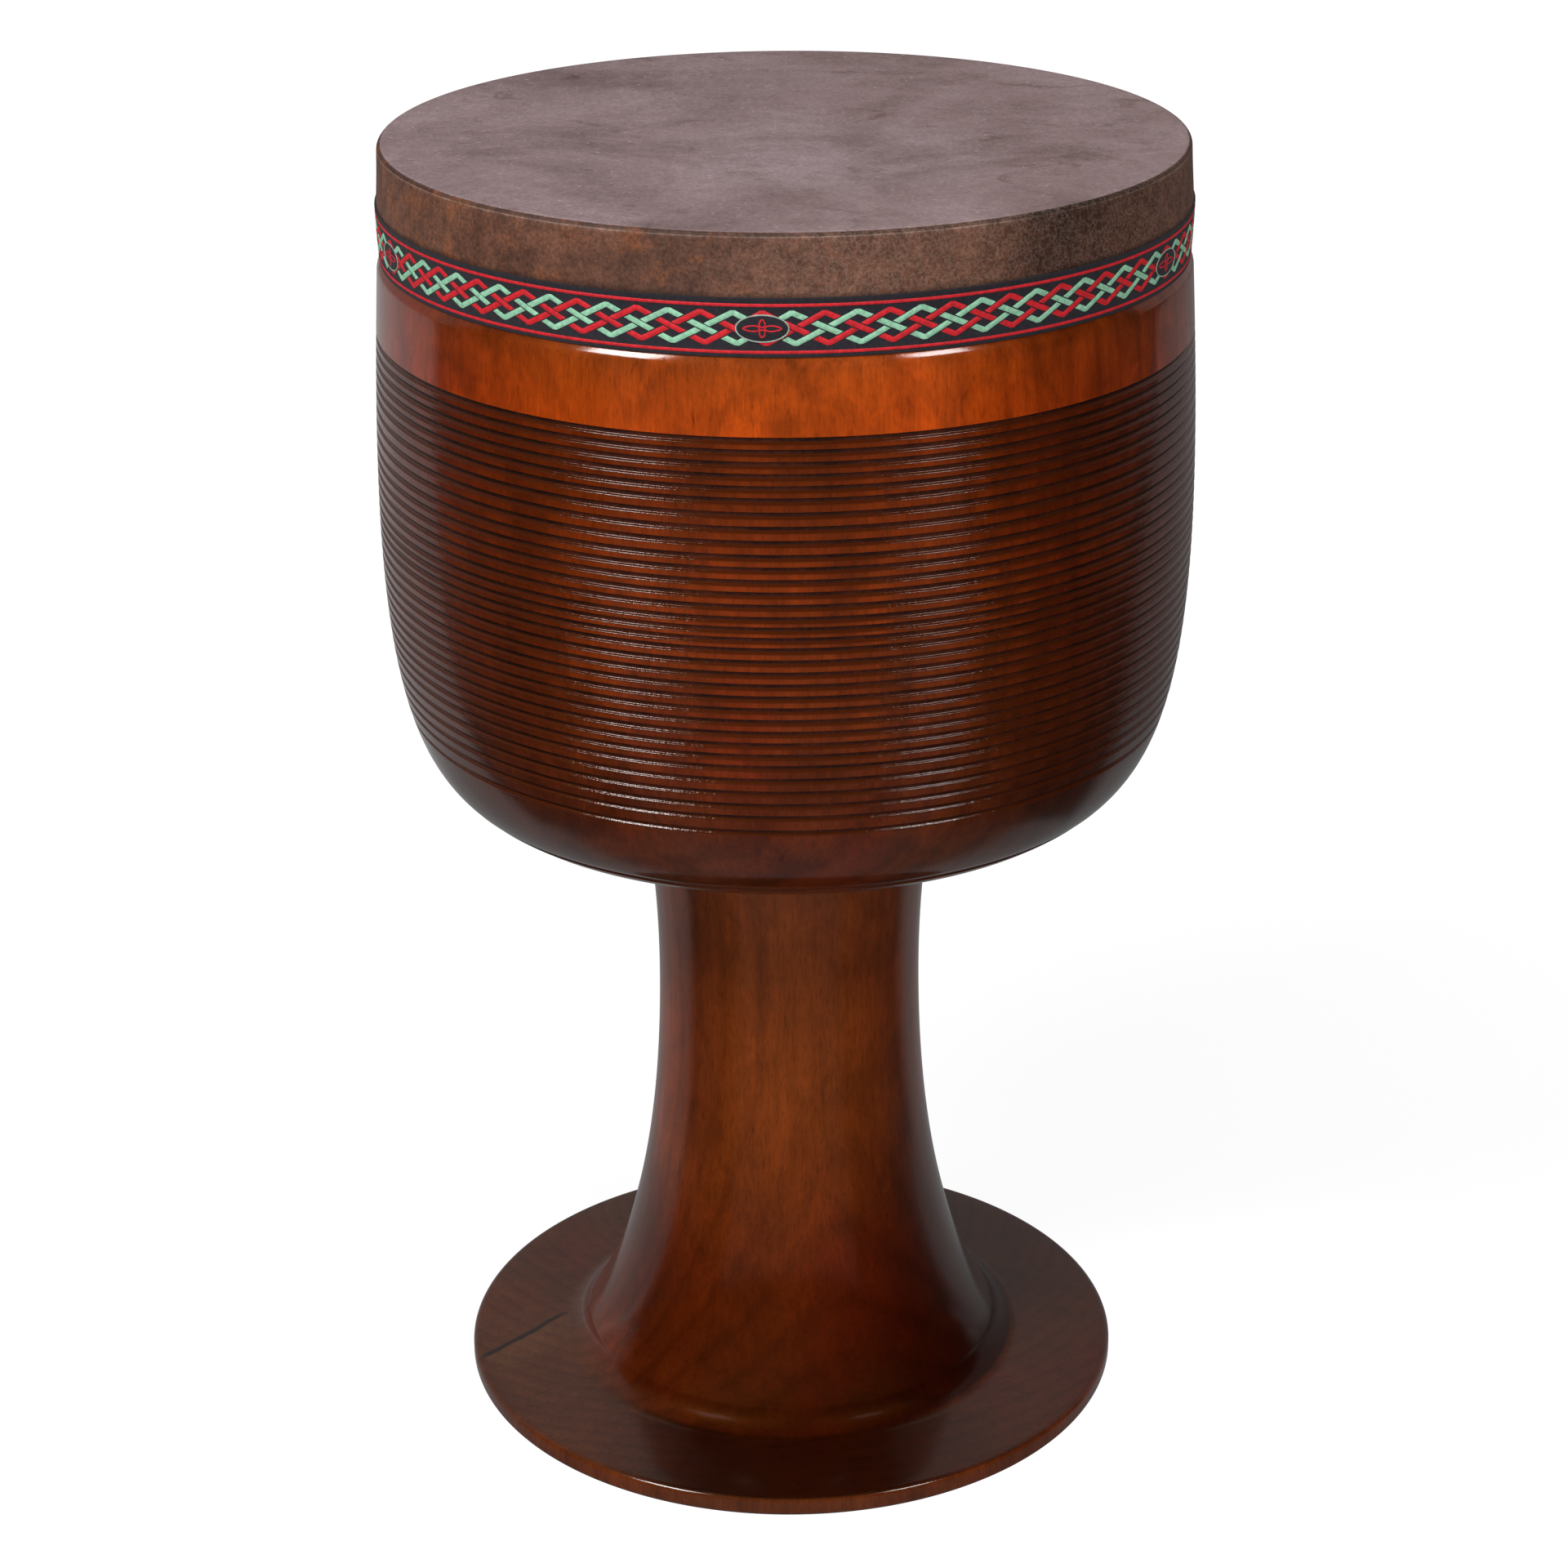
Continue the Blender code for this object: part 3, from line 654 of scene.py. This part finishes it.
    # Darker over the last 1.8 mm of hide above the ribbon's top edge.
    near_ribbon = add_node(hide, "ShaderNodeMapRange")
    join(hide, parts.outputs["Z"], near_ribbon.inputs["Value"])
    near_ribbon.inputs["From Min"].default_value = RIBBON_TOP + 1.8 * MM
    near_ribbon.inputs["From Max"].default_value = RIBBON_TOP + 0.2 * MM
    colour = blend_colours(hide, "MULTIPLY", math_node(hide, "MULTIPLY", near_ribbon.outputs[0], 0.45), colour, (0.1, 0.08, 0.07))
    join(hide, colour, shader.inputs["Base Color"])
    pebble = math_node(hide, "ADD", grain, math_node(hide, "MULTIPLY", streaks, 0.8))
    bump = add_node(hide, "ShaderNodeBump")
    bump.inputs["Strength"].default_value = 0.3
    bump.inputs["Distance"].default_value = 0.15 * MM
    join(hide, pebble, bump.inputs["Height"])
    join(hide, bump.outputs[0], shader.inputs["Normal"])
    shader.inputs["Roughness"].default_value = 0.62
    shader.inputs["Specular IOR Level"].default_value = 0.4
    return hide


head = hide_mesh(dyed_hide())
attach(head, "root")
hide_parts("drum_skin")

# Ribbon. A woven black band with a red line along each edge is glued round the hide's lower
# edge, and its two ends meet at the back. Its figure is a plait of four raised satin strands,
# two red and two green, with an oval left plain but for a small flower at each repeat.
RIBBON_MIDDLE = (RIBBON_BOTTOM + RIBBON_TOP) / 2
RIBBON_WIDTH = RIBBON_TOP - RIBBON_BOTTOM
GLUE = 0.05 * MM
CLOTH_THICKNESS = 0.45 * MM
SEAM = 0.6 * MM
FACE_RADIUS = wall_radius(RIBBON_MIDDLE) + hide_rise(RIBBON_MIDDLE) + GLUE + CLOTH_THICKNESS
RIBBON_LENGTH = 2 * math.pi * FACE_RADIUS - SEAM


def on_ribbon(along, up, proud):
    """A point of the ribbon: along it from the front, up from its middle, proud of its face."""
    angle = along / FACE_RADIUS
    height = RIBBON_MIDDLE + up
    radius = wall_radius(height) + hide_rise(height) + GLUE + CLOTH_THICKNESS + proud
    return radius * math.sin(angle), -radius * math.cos(angle), height


def band(name, section, material, steps=300):
    """A closed section, as (up, proud) and clockwise seen from its left end, run along the ribbon."""
    points, faces = [], []
    count = len(section)
    start = -RIBBON_LENGTH / 2
    for k in range(steps + 1):
        points += [on_ribbon(start + RIBBON_LENGTH * k / steps, up, proud) for up, proud in section]
    for k in range(steps):
        here, there = k * count, (k + 1) * count
        for i in range(count):
            j = (i + 1) % count
            faces.append((here + i, here + j, there + j, there + i))
    faces.append(tuple(reversed(range(count))))
    faces.append(tuple(steps * count + i for i in range(count)))
    return link_piece(name, points, faces, material)


def thread(name, colour, ribs_per_metre, depth, roughness, sheen):
    """Yarn in one colour, with fine ribs across the ribbon and a little unevenness."""
    yarn = bpy.data.materials.new(name)
    yarn.use_nodes = True
    shader = yarn.node_tree.nodes["Principled BSDF"]
    place = add_node(yarn, "ShaderNodeTexCoord").outputs["Object"]
    parts = add_node(yarn, "ShaderNodeSeparateXYZ")
    join(yarn, place, parts.inputs[0])
    turn_angle = math_node(yarn, "ARCTAN2", parts.outputs["X"],
                           math_node(yarn, "MULTIPLY", parts.outputs["Y"], -1.0))
    ribs = math_node(yarn, "SINE", math_node(yarn, "MULTIPLY", turn_angle,
                                             round(FACE_RADIUS * ribs_per_metre) * 1.0))
    picks = math_node(yarn, "SINE", math_node(yarn, "MULTIPLY", parts.outputs["Z"], 9000.0))
    weave = math_node(yarn, "ADD", ribs, math_node(yarn, "MULTIPLY", picks, 0.5))
    fuzz = stretched_noise(yarn, place, (1.0, 1.0, 1.0), 700.0, 3.0, 0.6)
    fuzz_tone = ramp(yarn, fuzz, (0.3, (0.72, 0.72, 0.72)), (0.7, (1.22, 1.22, 1.22)))
    join(yarn, blend_colours(yarn, "MULTIPLY", 1.0, colour, fuzz_tone), shader.inputs["Base Color"])
    bump = add_node(yarn, "ShaderNodeBump")
    bump.inputs["Strength"].default_value = 0.6
    bump.inputs["Distance"].default_value = depth
    join(yarn, weave, bump.inputs["Height"])
    join(yarn, bump.outputs[0], shader.inputs["Normal"])
    shader.inputs["Roughness"].default_value = roughness
    shader.inputs["Sheen Weight"].default_value = sheen
    shader.inputs["Specular IOR Level"].default_value = 0.35
    return yarn


black_yarn = thread("black_yarn", (0.018, 0.016, 0.022), 14000.0, 0.05 * MM, 0.8, 0.05)
red_yarn = thread("red_yarn", (0.58, 0.010, 0.018), 12000.0, 0.03 * MM, 0.6, 0.0)
green_yarn = thread("green_yarn", (0.27, 0.54, 0.36), 12000.0, 0.03 * MM, 0.6, 0.0)
pale_yarn = thread("pale_yarn", (0.30, 0.38, 0.32), 12000.0, 0.03 * MM, 0.6, 0.0)

half = RIBBON_WIDTH / 2
roll = 0.5 * MM
ribbon_section = [(-half, -CLOTH_THICKNESS), (-half - 0.1 * MM, -0.2 * MM), (-half + 0.05 * MM, 0.1 * MM),
                  (-half + roll, 0.14 * MM), (-half + 2 * roll, 0.0), (half - 2 * roll, 0.0),
                  (half - roll, 0.14 * MM), (half - 0.05 * MM, 0.1 * MM), (half + 0.1 * MM, -0.2 * MM),
                  (half, -CLOTH_THICKNESS)]
ribbon = band("woven_ribbon", ribbon_section, black_yarn)
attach(ribbon, "root")
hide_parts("ribbon")

# Edge lines. Each is a narrow stripe of red warp a little inside the ribbon's edge.
EDGE_LINE_HALF = 0.48 * MM
for name, up in (("lower_red_line", -7.62 * MM), ("upper_red_line", 7.08 * MM)):
    w = EDGE_LINE_HALF
    stripe = [(up - w, -0.2 * MM), (up - w, 0.06 * MM), (up - 0.6 * w, 0.17 * MM), (up, 0.21 * MM),
              (up + 0.6 * w, 0.17 * MM), (up + w, 0.06 * MM), (up + w, -0.2 * MM)]
    line = band(name, stripe, red_yarn)
    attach(line, "root")

# Plait. Every strand climbs and falls across the band in a long zigzag. A climbing strand goes
# under the one of its own colour that falls across it in the middle, and over the other colour
# above and below, so what shows of a strand is a roof, a slanting bar and a vee.
REPEAT = 157.2 * MM
OVAL_PLACE = -7.05 * MM
CELL = 19.93 * MM
OVAL_CELL = 17.7 * MM
PLAIT_HALF = 4.9 * MM
PLAIT_RISE = -0.07 * MM
VALLEY_SHIFT = 1.3 * MM
STRAND_HALF = 0.85 * MM
STRAND_GAP = 0.36 * MM
TIP_CUT = 0.62 * MM
STRAND_LANES = ((-1.0, -0.2), (-1.0, 0.06), (-0.6, 0.2), (0.0, 0.27), (0.6, 0.2), (1.0, 0.06), (1.0, -0.2))
RED, GREEN = 0, 1


def peak_places():
    """Every peak of the plait from end to end, red and green in turn, as (place, colour)."""
    peaks = []
    for repeat in range(-3, 4):
        centre = OVAL_PLACE + repeat * REPEAT
        peaks.append((centre, RED))
        for step in range(8):
            beside = OVAL_CELL / 2 + step * CELL / 2
            colour = GREEN if step % 2 == 0 else RED
            if step < 7:
                peaks.append((centre - beside, colour))
            peaks.append((centre + beside, colour))
    return sorted(peaks)


PEAKS = peak_places()


def rising(n):
    """The middle line of the strand that climbs from valley n to peak n + 2."""
    return (PEAKS[n][0] + VALLEY_SHIFT, -PLAIT_HALF), (PEAKS[n + 2][0], PLAIT_HALF)


def falling(n):
    """The middle line of the strand that falls from peak n to valley n + 2."""
    return (PEAKS[n][0], PLAIT_HALF), (PEAKS[n + 2][0] + VALLEY_SHIFT, -PLAIT_HALF)


def beside(line, distance):
    """The line moved square to itself, to its left by a distance."""
    (x0, y0), (x1, y1) = line
    length = math.dist(*line)
    dx, dy = -(y1 - y0) / length * distance, (x1 - x0) / length * distance
    return (x0 + dx, y0 + dy), (x1 + dx, y1 + dy)


def meet(first, second):
    """Where two lines cross."""
    (x1, y1), (x2, y2) = first
    (x3, y3), (x4, y4) = second
    a = x1 * y2 - y1 * x2
    b = x3 * y4 - y3 * x4
    d = (x1 - x2) * (y3 - y4) - (y1 - y2) * (x3 - x4)
    return (a * (x3 - x4) - (x1 - x2) * b) / d, (a * (y3 - y4) - (y1 - y2) * b) / d


def flat_tip(first, second, level):
    """The two points where a corner is cut off level, or the corner itself, twice."""
    corner = meet(first, second)
    if abs(corner[1]) <= abs(level):
        return [corner, corner]
    cut = (0.0, level), (1.0, level)
    return [meet(first, cut), meet(second, cut)]


def strand_piece(points, faces, lines, start_cut, end_cut):
    """Adds one showing piece of a strand, along one or two middle lines between two cuts."""
    lanes = []
    for share, _ in STRAND_LANES:
        moved = [beside(line, share * STRAND_HALF) for line in lines]
        path = [meet(moved[0], start_cut)]
        if len(moved) == 2:
            tip = lines[0][1][1]
            level = math.copysign(abs(tip) + TIP_CUT, tip)
            path += flat_tip(moved[0], moved[1], level)
        path.append(meet(moved[-1], end_cut))
        fine = [path[0]]
        for a, b in zip(path, path[1:]):
            steps = 1 if a == b or len(path) == 4 and (a, b) == (path[1], path[2]) else 5
            fine += [(a[0] + (b[0] - a[0]) * i / steps, a[1] + (b[1] - a[1]) * i / steps)
                     for i in range(1, steps + 1)]
        lanes.append(fine)
    first = len(points)
    count = len(STRAND_LANES)
    stations = len(lanes[0])
    for k in range(stations):
        points += [on_ribbon(lane[k][0], lane[k][1] + PLAIT_RISE, proud * MM)
                   for lane, (_, proud) in zip(lanes, STRAND_LANES)]
    for k in range(stations - 1):
        here, there = first + k * count, first + (k + 1) * count
        for i in range(count):
            j = (i + 1) % count
            faces.append((here + i, there + i, there + j, here + j))
    faces.append(tuple(first + i for i in range(count)))
    faces.append(tuple(first + (stations - 1) * count + i for i in reversed(range(count))))


def plait(colour):
    points, faces = [], []
    clear = STRAND_HALF + STRAND_GAP
    reach = RIBBON_LENGTH / 2 - 16 * MM
    for n in range(3, len(PEAKS) - 4):
        if PEAKS[n][1] != colour or abs(PEAKS[n][0]) > reach:
            continue
        strand_piece(points, faces, [rising(n - 2), falling(n)],
                     beside(falling(n - 2), clear), beside(rising(n - 1), clear))
        strand_piece(points, faces, [falling(n)],
                     beside(rising(n - 1), -clear), beside(rising(n + 1), clear))
        strand_piece(points, faces, [falling(n - 2), rising(n)],
                     beside(rising(n - 1), -clear), beside(falling(n), -clear))
    return points, faces


for name, colour, yarn in (("red_strands", RED, red_yarn), ("green_strands", GREEN, green_yarn)):
    strand = link_piece(name, *plait(colour), yarn)
    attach(strand, "root")

# Ovals. At each repeat a black oval lies over the plait inside a thin green line. It holds a
# small woven flower of a plain, common kind.
OVAL_LONG = 8.0 * MM
OVAL_HIGH = 4.2 * MM
OVAL_RISE = -0.1 * MM
OVAL_PROUD = 0.33 * MM
OVAL_LINE = 0.22 * MM


def oval_places():
    places = [OVAL_PLACE + repeat * REPEAT for repeat in range(-3, 4)]
    return [place for place in places if abs(place) < RIBBON_LENGTH / 2 - OVAL_LONG - 8 * MM]


def oval_ground(points, faces, centre):
    around, rings = 48, ((1.0, -0.2 * MM), (1.0, OVAL_PROUD - 0.1 * MM), (0.95, OVAL_PROUD), (0.6, OVAL_PROUD),
                         (0.3, OVAL_PROUD))
    first = len(points)
    for share, proud in rings:
        for k in range(around):
            angle = 2 * math.pi * k / around
            points.append(on_ribbon(centre + OVAL_LONG * share * math.cos(angle),
                                    OVAL_RISE + OVAL_HIGH * share * math.sin(angle), proud))
    middle = len(points)
    points.append(on_ribbon(centre, OVAL_RISE, OVAL_PROUD))
    points.append(on_ribbon(centre, OVAL_RISE, -0.2 * MM))
    for ring in range(len(rings) - 1):
        for k in range(around):
            a, b = first + ring * around + k, first + ring * around + (k + 1) % around
            faces.append((a, b, b + around, a + around))
    last = first + (len(rings) - 1) * around
    for k in range(around):
        faces.append((last + k, last + (k + 1) % around, middle))
        faces.append((first + (k + 1) % around, first + k, middle + 1))


def loop_cord(points, faces, path, half_width, proud):
    """A closed low cord that follows a loop of (along, up) points."""
    first = len(points)
    count = len(path)
    section = ((-1.0, -0.15), (-0.9, 0.45), (0.0, 1.0), (0.9, 0.45), (1.0, -0.15))
    for k in range(count):
        before, after = path[k - 1], path[(k + 1) % count]
        length = math.dist(before, after)
        square = -(after[1] - before[1]) / length, (after[0] - before[0]) / length
        for side, lift in section:
            points.append(on_ribbon(path[k][0] + square[0] * side * half_width,
                                    path[k][1] + square[1] * side * half_width, proud + lift * 0.16 * MM))
    size = len(section)
    for k in range(count):
        here, there = first + k * size, first + (k + 1) % count * size
        for i in range(size):
            j = (i + 1) % size
            faces.append((here + i, there + i, there + j, here + j))


oval_points, oval_faces, ring_points, ring_faces, flower_points, flower_faces = [], [], [], [], [], []
for centre in oval_places():
    oval_ground(oval_points, oval_faces, centre)
    loop = [(centre + OVAL_LONG * math.cos(2 * math.pi * k / 64),
             OVAL_RISE + OVAL_HIGH * math.sin(2 * math.pi * k / 64)) for k in range(64)]
    loop_cord(ring_points, ring_faces, loop, OVAL_LINE, OVAL_PROUD - 0.02 * MM)
    for petal in range(4):
        spin = petal * math.pi / 2
        leaf = []
        for k in range(24):
            t = 2 * math.pi * k / 24
            long = 2.0 + 1.5 * math.cos(t)
            wide = 0.85 * math.sin(t) * (1.0 - 0.35 * math.cos(t))
            stretch = 1.65 if petal % 2 == 0 else 0.8
            along = (long * math.cos(spin) - wide * math.sin(spin)) * (stretch if petal % 2 == 0 else 1.0)
            up = (long * math.sin(spin) + wide * math.cos(spin)) * (stretch if petal % 2 else 1.0)
            leaf.append((centre + along * MM, OVAL_RISE + up * MM))
        loop_cord(flower_points, flower_faces, leaf, 0.24 * MM, OVAL_PROUD - 0.02 * MM)
for name, points, faces, yarn in (("ribbon_ovals", oval_points, oval_faces, black_yarn),
                                  ("oval_lines", ring_points, ring_faces, pale_yarn),
                                  ("oval_flowers", flower_points, flower_faces, red_yarn)):
    part = link_piece(name, points, faces, yarn)
    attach(part, "root")

# Studio. A pale floor stands in a room that is white behind the drum and dark in front of it, with
# a large soft lamp high at the left front and a weaker one high at the right.
FLOOR_HALF = 4.0
floor_mesh = bpy.data.meshes.new("floor")
floor_mesh.from_pydata([(-FLOOR_HALF, -FLOOR_HALF, -0.2 * MM), (FLOOR_HALF, -FLOOR_HALF, -0.2 * MM),
                        (FLOOR_HALF, FLOOR_HALF, -0.2 * MM), (-FLOOR_HALF, FLOOR_HALF, -0.2 * MM)],
                       [], [(0, 1, 2, 3)])
floor = bpy.data.objects.new("floor", floor_mesh)
bpy.context.collection.objects.link(floor)
paper = bpy.data.materials.new("pale_paper")
paper.use_nodes = True
paper_shader = paper.node_tree.nodes["Principled BSDF"]
paper_shader.inputs["Roughness"].default_value = 0.9
paper_shader.inputs["Specular IOR Level"].default_value = 0.0
paper_shader.inputs["Emission Color"].default_value = (1.0, 1.0, 1.0, 1.0)
spot = add_node(paper, "ShaderNodeTexCoord").outputs["Object"]


def floor_side(x, y, low, high):
    """From 0 to 1 as a place on the floor lies further towards (x, y), over a strip from low to high."""
    along = add_node(paper, "ShaderNodeVectorMath", operation="DOT_PRODUCT")
    join(paper, spot, along.inputs[0])
    along.inputs[1].default_value = (x, y, 0.0)
    side = add_node(paper, "ShaderNodeMapRange", interpolation_type="SMOOTHSTEP")
    join(paper, along.outputs["Value"], side.inputs["Value"])
    side.inputs["From Min"].default_value = low
    side.inputs["From Max"].default_value = high
    return side.outputs[0]


# The paper is white behind the drum, and grey and then black towards the sides in front of it.
white_paper = math_node(paper, "MULTIPLY", floor_side(0.387, 0.922, -0.16, -0.1), floor_side(-0.26, 0.966, -0.03, 0.09))
white_paper = math_node(paper, "MULTIPLY", white_paper, floor_side(-0.73, 0.683, -0.55, -0.49))
grey_paper = math_node(paper, "MULTIPLY", *[floor_side(x, -0.75, 0.0, 0.08) for x in (-0.66, 0.66)])
distance = add_node(paper, "ShaderNodeVectorMath", operation="LENGTH")
join(paper, spot, distance.inputs[0])
under = add_node(paper, "ShaderNodeMapRange", interpolation_type="SMOOTHSTEP")
join(paper, distance.outputs["Value"], under.inputs["Value"])
under.inputs["From Min"].default_value = 0.36
under.inputs["From Max"].default_value = 0.24
tone = math_node(paper, "MAXIMUM", math_node(paper, "MULTIPLY", under.outputs[0], 0.1),
                 math_node(paper, "MULTIPLY", white_paper, 0.14))
tone = math_node(paper, "ADD", tone, math_node(paper, "ADD", math_node(paper, "MULTIPLY", grey_paper, 0.08), 0.02))
join(paper, tone, paper_shader.inputs["Base Color"])
outward = add_node(paper, "ShaderNodeMapRange", interpolation_type="SMOOTHSTEP")
join(paper, distance.outputs["Value"], outward.inputs["Value"])
outward.inputs["From Min"].default_value = 0.2
outward.inputs["From Max"].default_value = 1.1
near_white = math_node(paper, "MULTIPLY", white_paper, math_node(paper, "SUBTRACT", 1.0, outward.outputs[0]))
lit = math_node(paper, "SUBTRACT", 1.0, math_node(paper, "MULTIPLY", near_white, 0.1))
further = add_node(paper, "ShaderNodeMapRange", interpolation_type="SMOOTHSTEP")
join(paper, distance.outputs["Value"], further.inputs["Value"])
further.inputs["From Min"].default_value = 0.38
further.inputs["From Max"].default_value = 0.62
left_glow = math_node(paper, "SUBTRACT", math_node(paper, "MULTIPLY", floor_side(-1.0, 0.0, -0.1, 0.1), 0.22), 0.055)
mirrored_glow = math_node(paper, "ADD", 0.14, math_node(paper, "MULTIPLY", further.outputs[0], left_glow))
beside_foot = add_node(paper, "ShaderNodeMapRange", interpolation_type="SMOOTHSTEP")
join(paper, distance.outputs["Value"], beside_foot.inputs["Value"])
beside_foot.inputs["From Min"].default_value = 0.31
beside_foot.inputs["From Max"].default_value = 0.27
near_sides = math_node(paper, "MULTIPLY", floor_side(0.0, 1.0, -0.1, -0.03), beside_foot.outputs[0])
mirrored_glow = math_node(paper, "MAXIMUM", math_node(paper, "MULTIPLY", white_paper, mirrored_glow),
                          math_node(paper, "MULTIPLY", near_sides, 0.15))
paper_rays = add_node(paper, "ShaderNodeLightPath")
mirrored = math_node(paper, "MAXIMUM", paper_rays.outputs["Is Glossy Ray"], paper_rays.outputs["Is Transmission Ray"])
glow = math_node(paper, "ADD", math_node(paper, "MULTIPLY", paper_rays.outputs["Is Camera Ray"], lit),
                 math_node(paper, "MULTIPLY", mirrored, mirrored_glow))
# The paper also glows for diffuse rays: painted bounce light onto the drum, though the paper is no lamp.
diffuse_glow = math_node(paper, "MULTIPLY", paper_rays.outputs["Is Diffuse Ray"], 0.42)
glow = math_node(paper, "ADD", glow, diffuse_glow)
join(paper, glow, paper_shader.inputs["Emission Strength"])
floor_mesh.materials.append(paper)


def soft_lamp(name, place, aim, width, height, watts):
    """A lamp with a flat square front, that faces the point it is aimed at."""
    data = bpy.data.lights.new(name, "AREA")
    data.shape = "RECTANGLE"
    data.size = width
    data.size_y = height
    data.energy = watts
    lamp = bpy.data.objects.new(name, data)
    bpy.context.collection.objects.link(lamp)
    lamp.location = place
    lamp.rotation_euler = (Vector(place) - Vector(aim)).to_track_quat("Z", "Y").to_euler()
    lamp.visible_camera = False


soft_lamp("key_lamp", (-1.306, -1.096, 1.85), (0.0, 0.0, 0.30), 0.66, 0.56, 28)
soft_lamp("right_lamp", (1.247, -1.163, 1.85), (0.0, 0.0, 0.30), 0.5, 0.36, 11)

world = bpy.data.worlds.new("room")
bpy.context.scene.world = world
world.use_nodes = True
sky = world.node_tree
rays = sky.nodes.new("ShaderNodeLightPath")
way = sky.nodes.new("ShaderNodeTexCoord").outputs["Generated"]


def sky_math(operation, a, b):
    node = sky.nodes.new("ShaderNodeMath")
    node.operation = operation
    for socket, value in zip(node.inputs, (a, b)):
        if isinstance(value, bpy.types.NodeSocket):
            sky.links.new(value, socket)
        else:
            socket.default_value = value
    return node.outputs[0]


def sky_side(x, y, z, low, high):
    """From 0 to 1 as the direction looked in turns towards (x, y, z)."""
    dot = sky.nodes.new("ShaderNodeVectorMath")
    dot.operation = "DOT_PRODUCT"
    sky.links.new(way, dot.inputs[0])
    dot.inputs[1].default_value = (x, y, z)
    side = sky.nodes.new("ShaderNodeMapRange")
    side.interpolation_type = "SMOOTHSTEP"
    sky.links.new(dot.outputs["Value"], side.inputs["Value"])
    side.inputs["From Min"].default_value = low
    side.inputs["From Max"].default_value = high
    return side.outputs[0]


behind = sky_math("MULTIPLY", sky_side(0.309, 0.951, 0.0, -0.2, 0.0), sky_side(-0.45, 0.893, 0.0, -0.1, 0.05))
low_down = sky_math("ADD", 0.15, sky_math("MULTIPLY", sky_side(0.0, 0.0, -1.0, -0.9, -0.6), 0.08))
mirrored = sky_math("MAXIMUM", rays.outputs["Is Glossy Ray"], rays.outputs["Is Transmission Ray"])
shown = sky_math("MULTIPLY", mirrored, sky_math("MULTIPLY", behind, low_down))
unseen = sky_math("SUBTRACT", 1.0, sky_math("MAXIMUM", rays.outputs["Is Camera Ray"], mirrored))
fill = sky_math("ADD", sky_math("ADD", 0.05, sky_math("MULTIPLY", behind, 0.2)),
                sky_math("MULTIPLY", sky_side(-0.12, -0.99, 0.0, 0.25, 1.0), 1.75))
strength = sky_math("ADD", rays.outputs["Is Camera Ray"], sky_math("ADD", shown, sky_math("MULTIPLY", unseen, fill)))
room = sky.nodes["Background"]
room.inputs["Color"].default_value = (1.0, 1.0, 1.0, 1.0)
sky.links.new(strength, room.inputs["Strength"])

bpy.context.scene.view_settings.view_transform = "Standard"
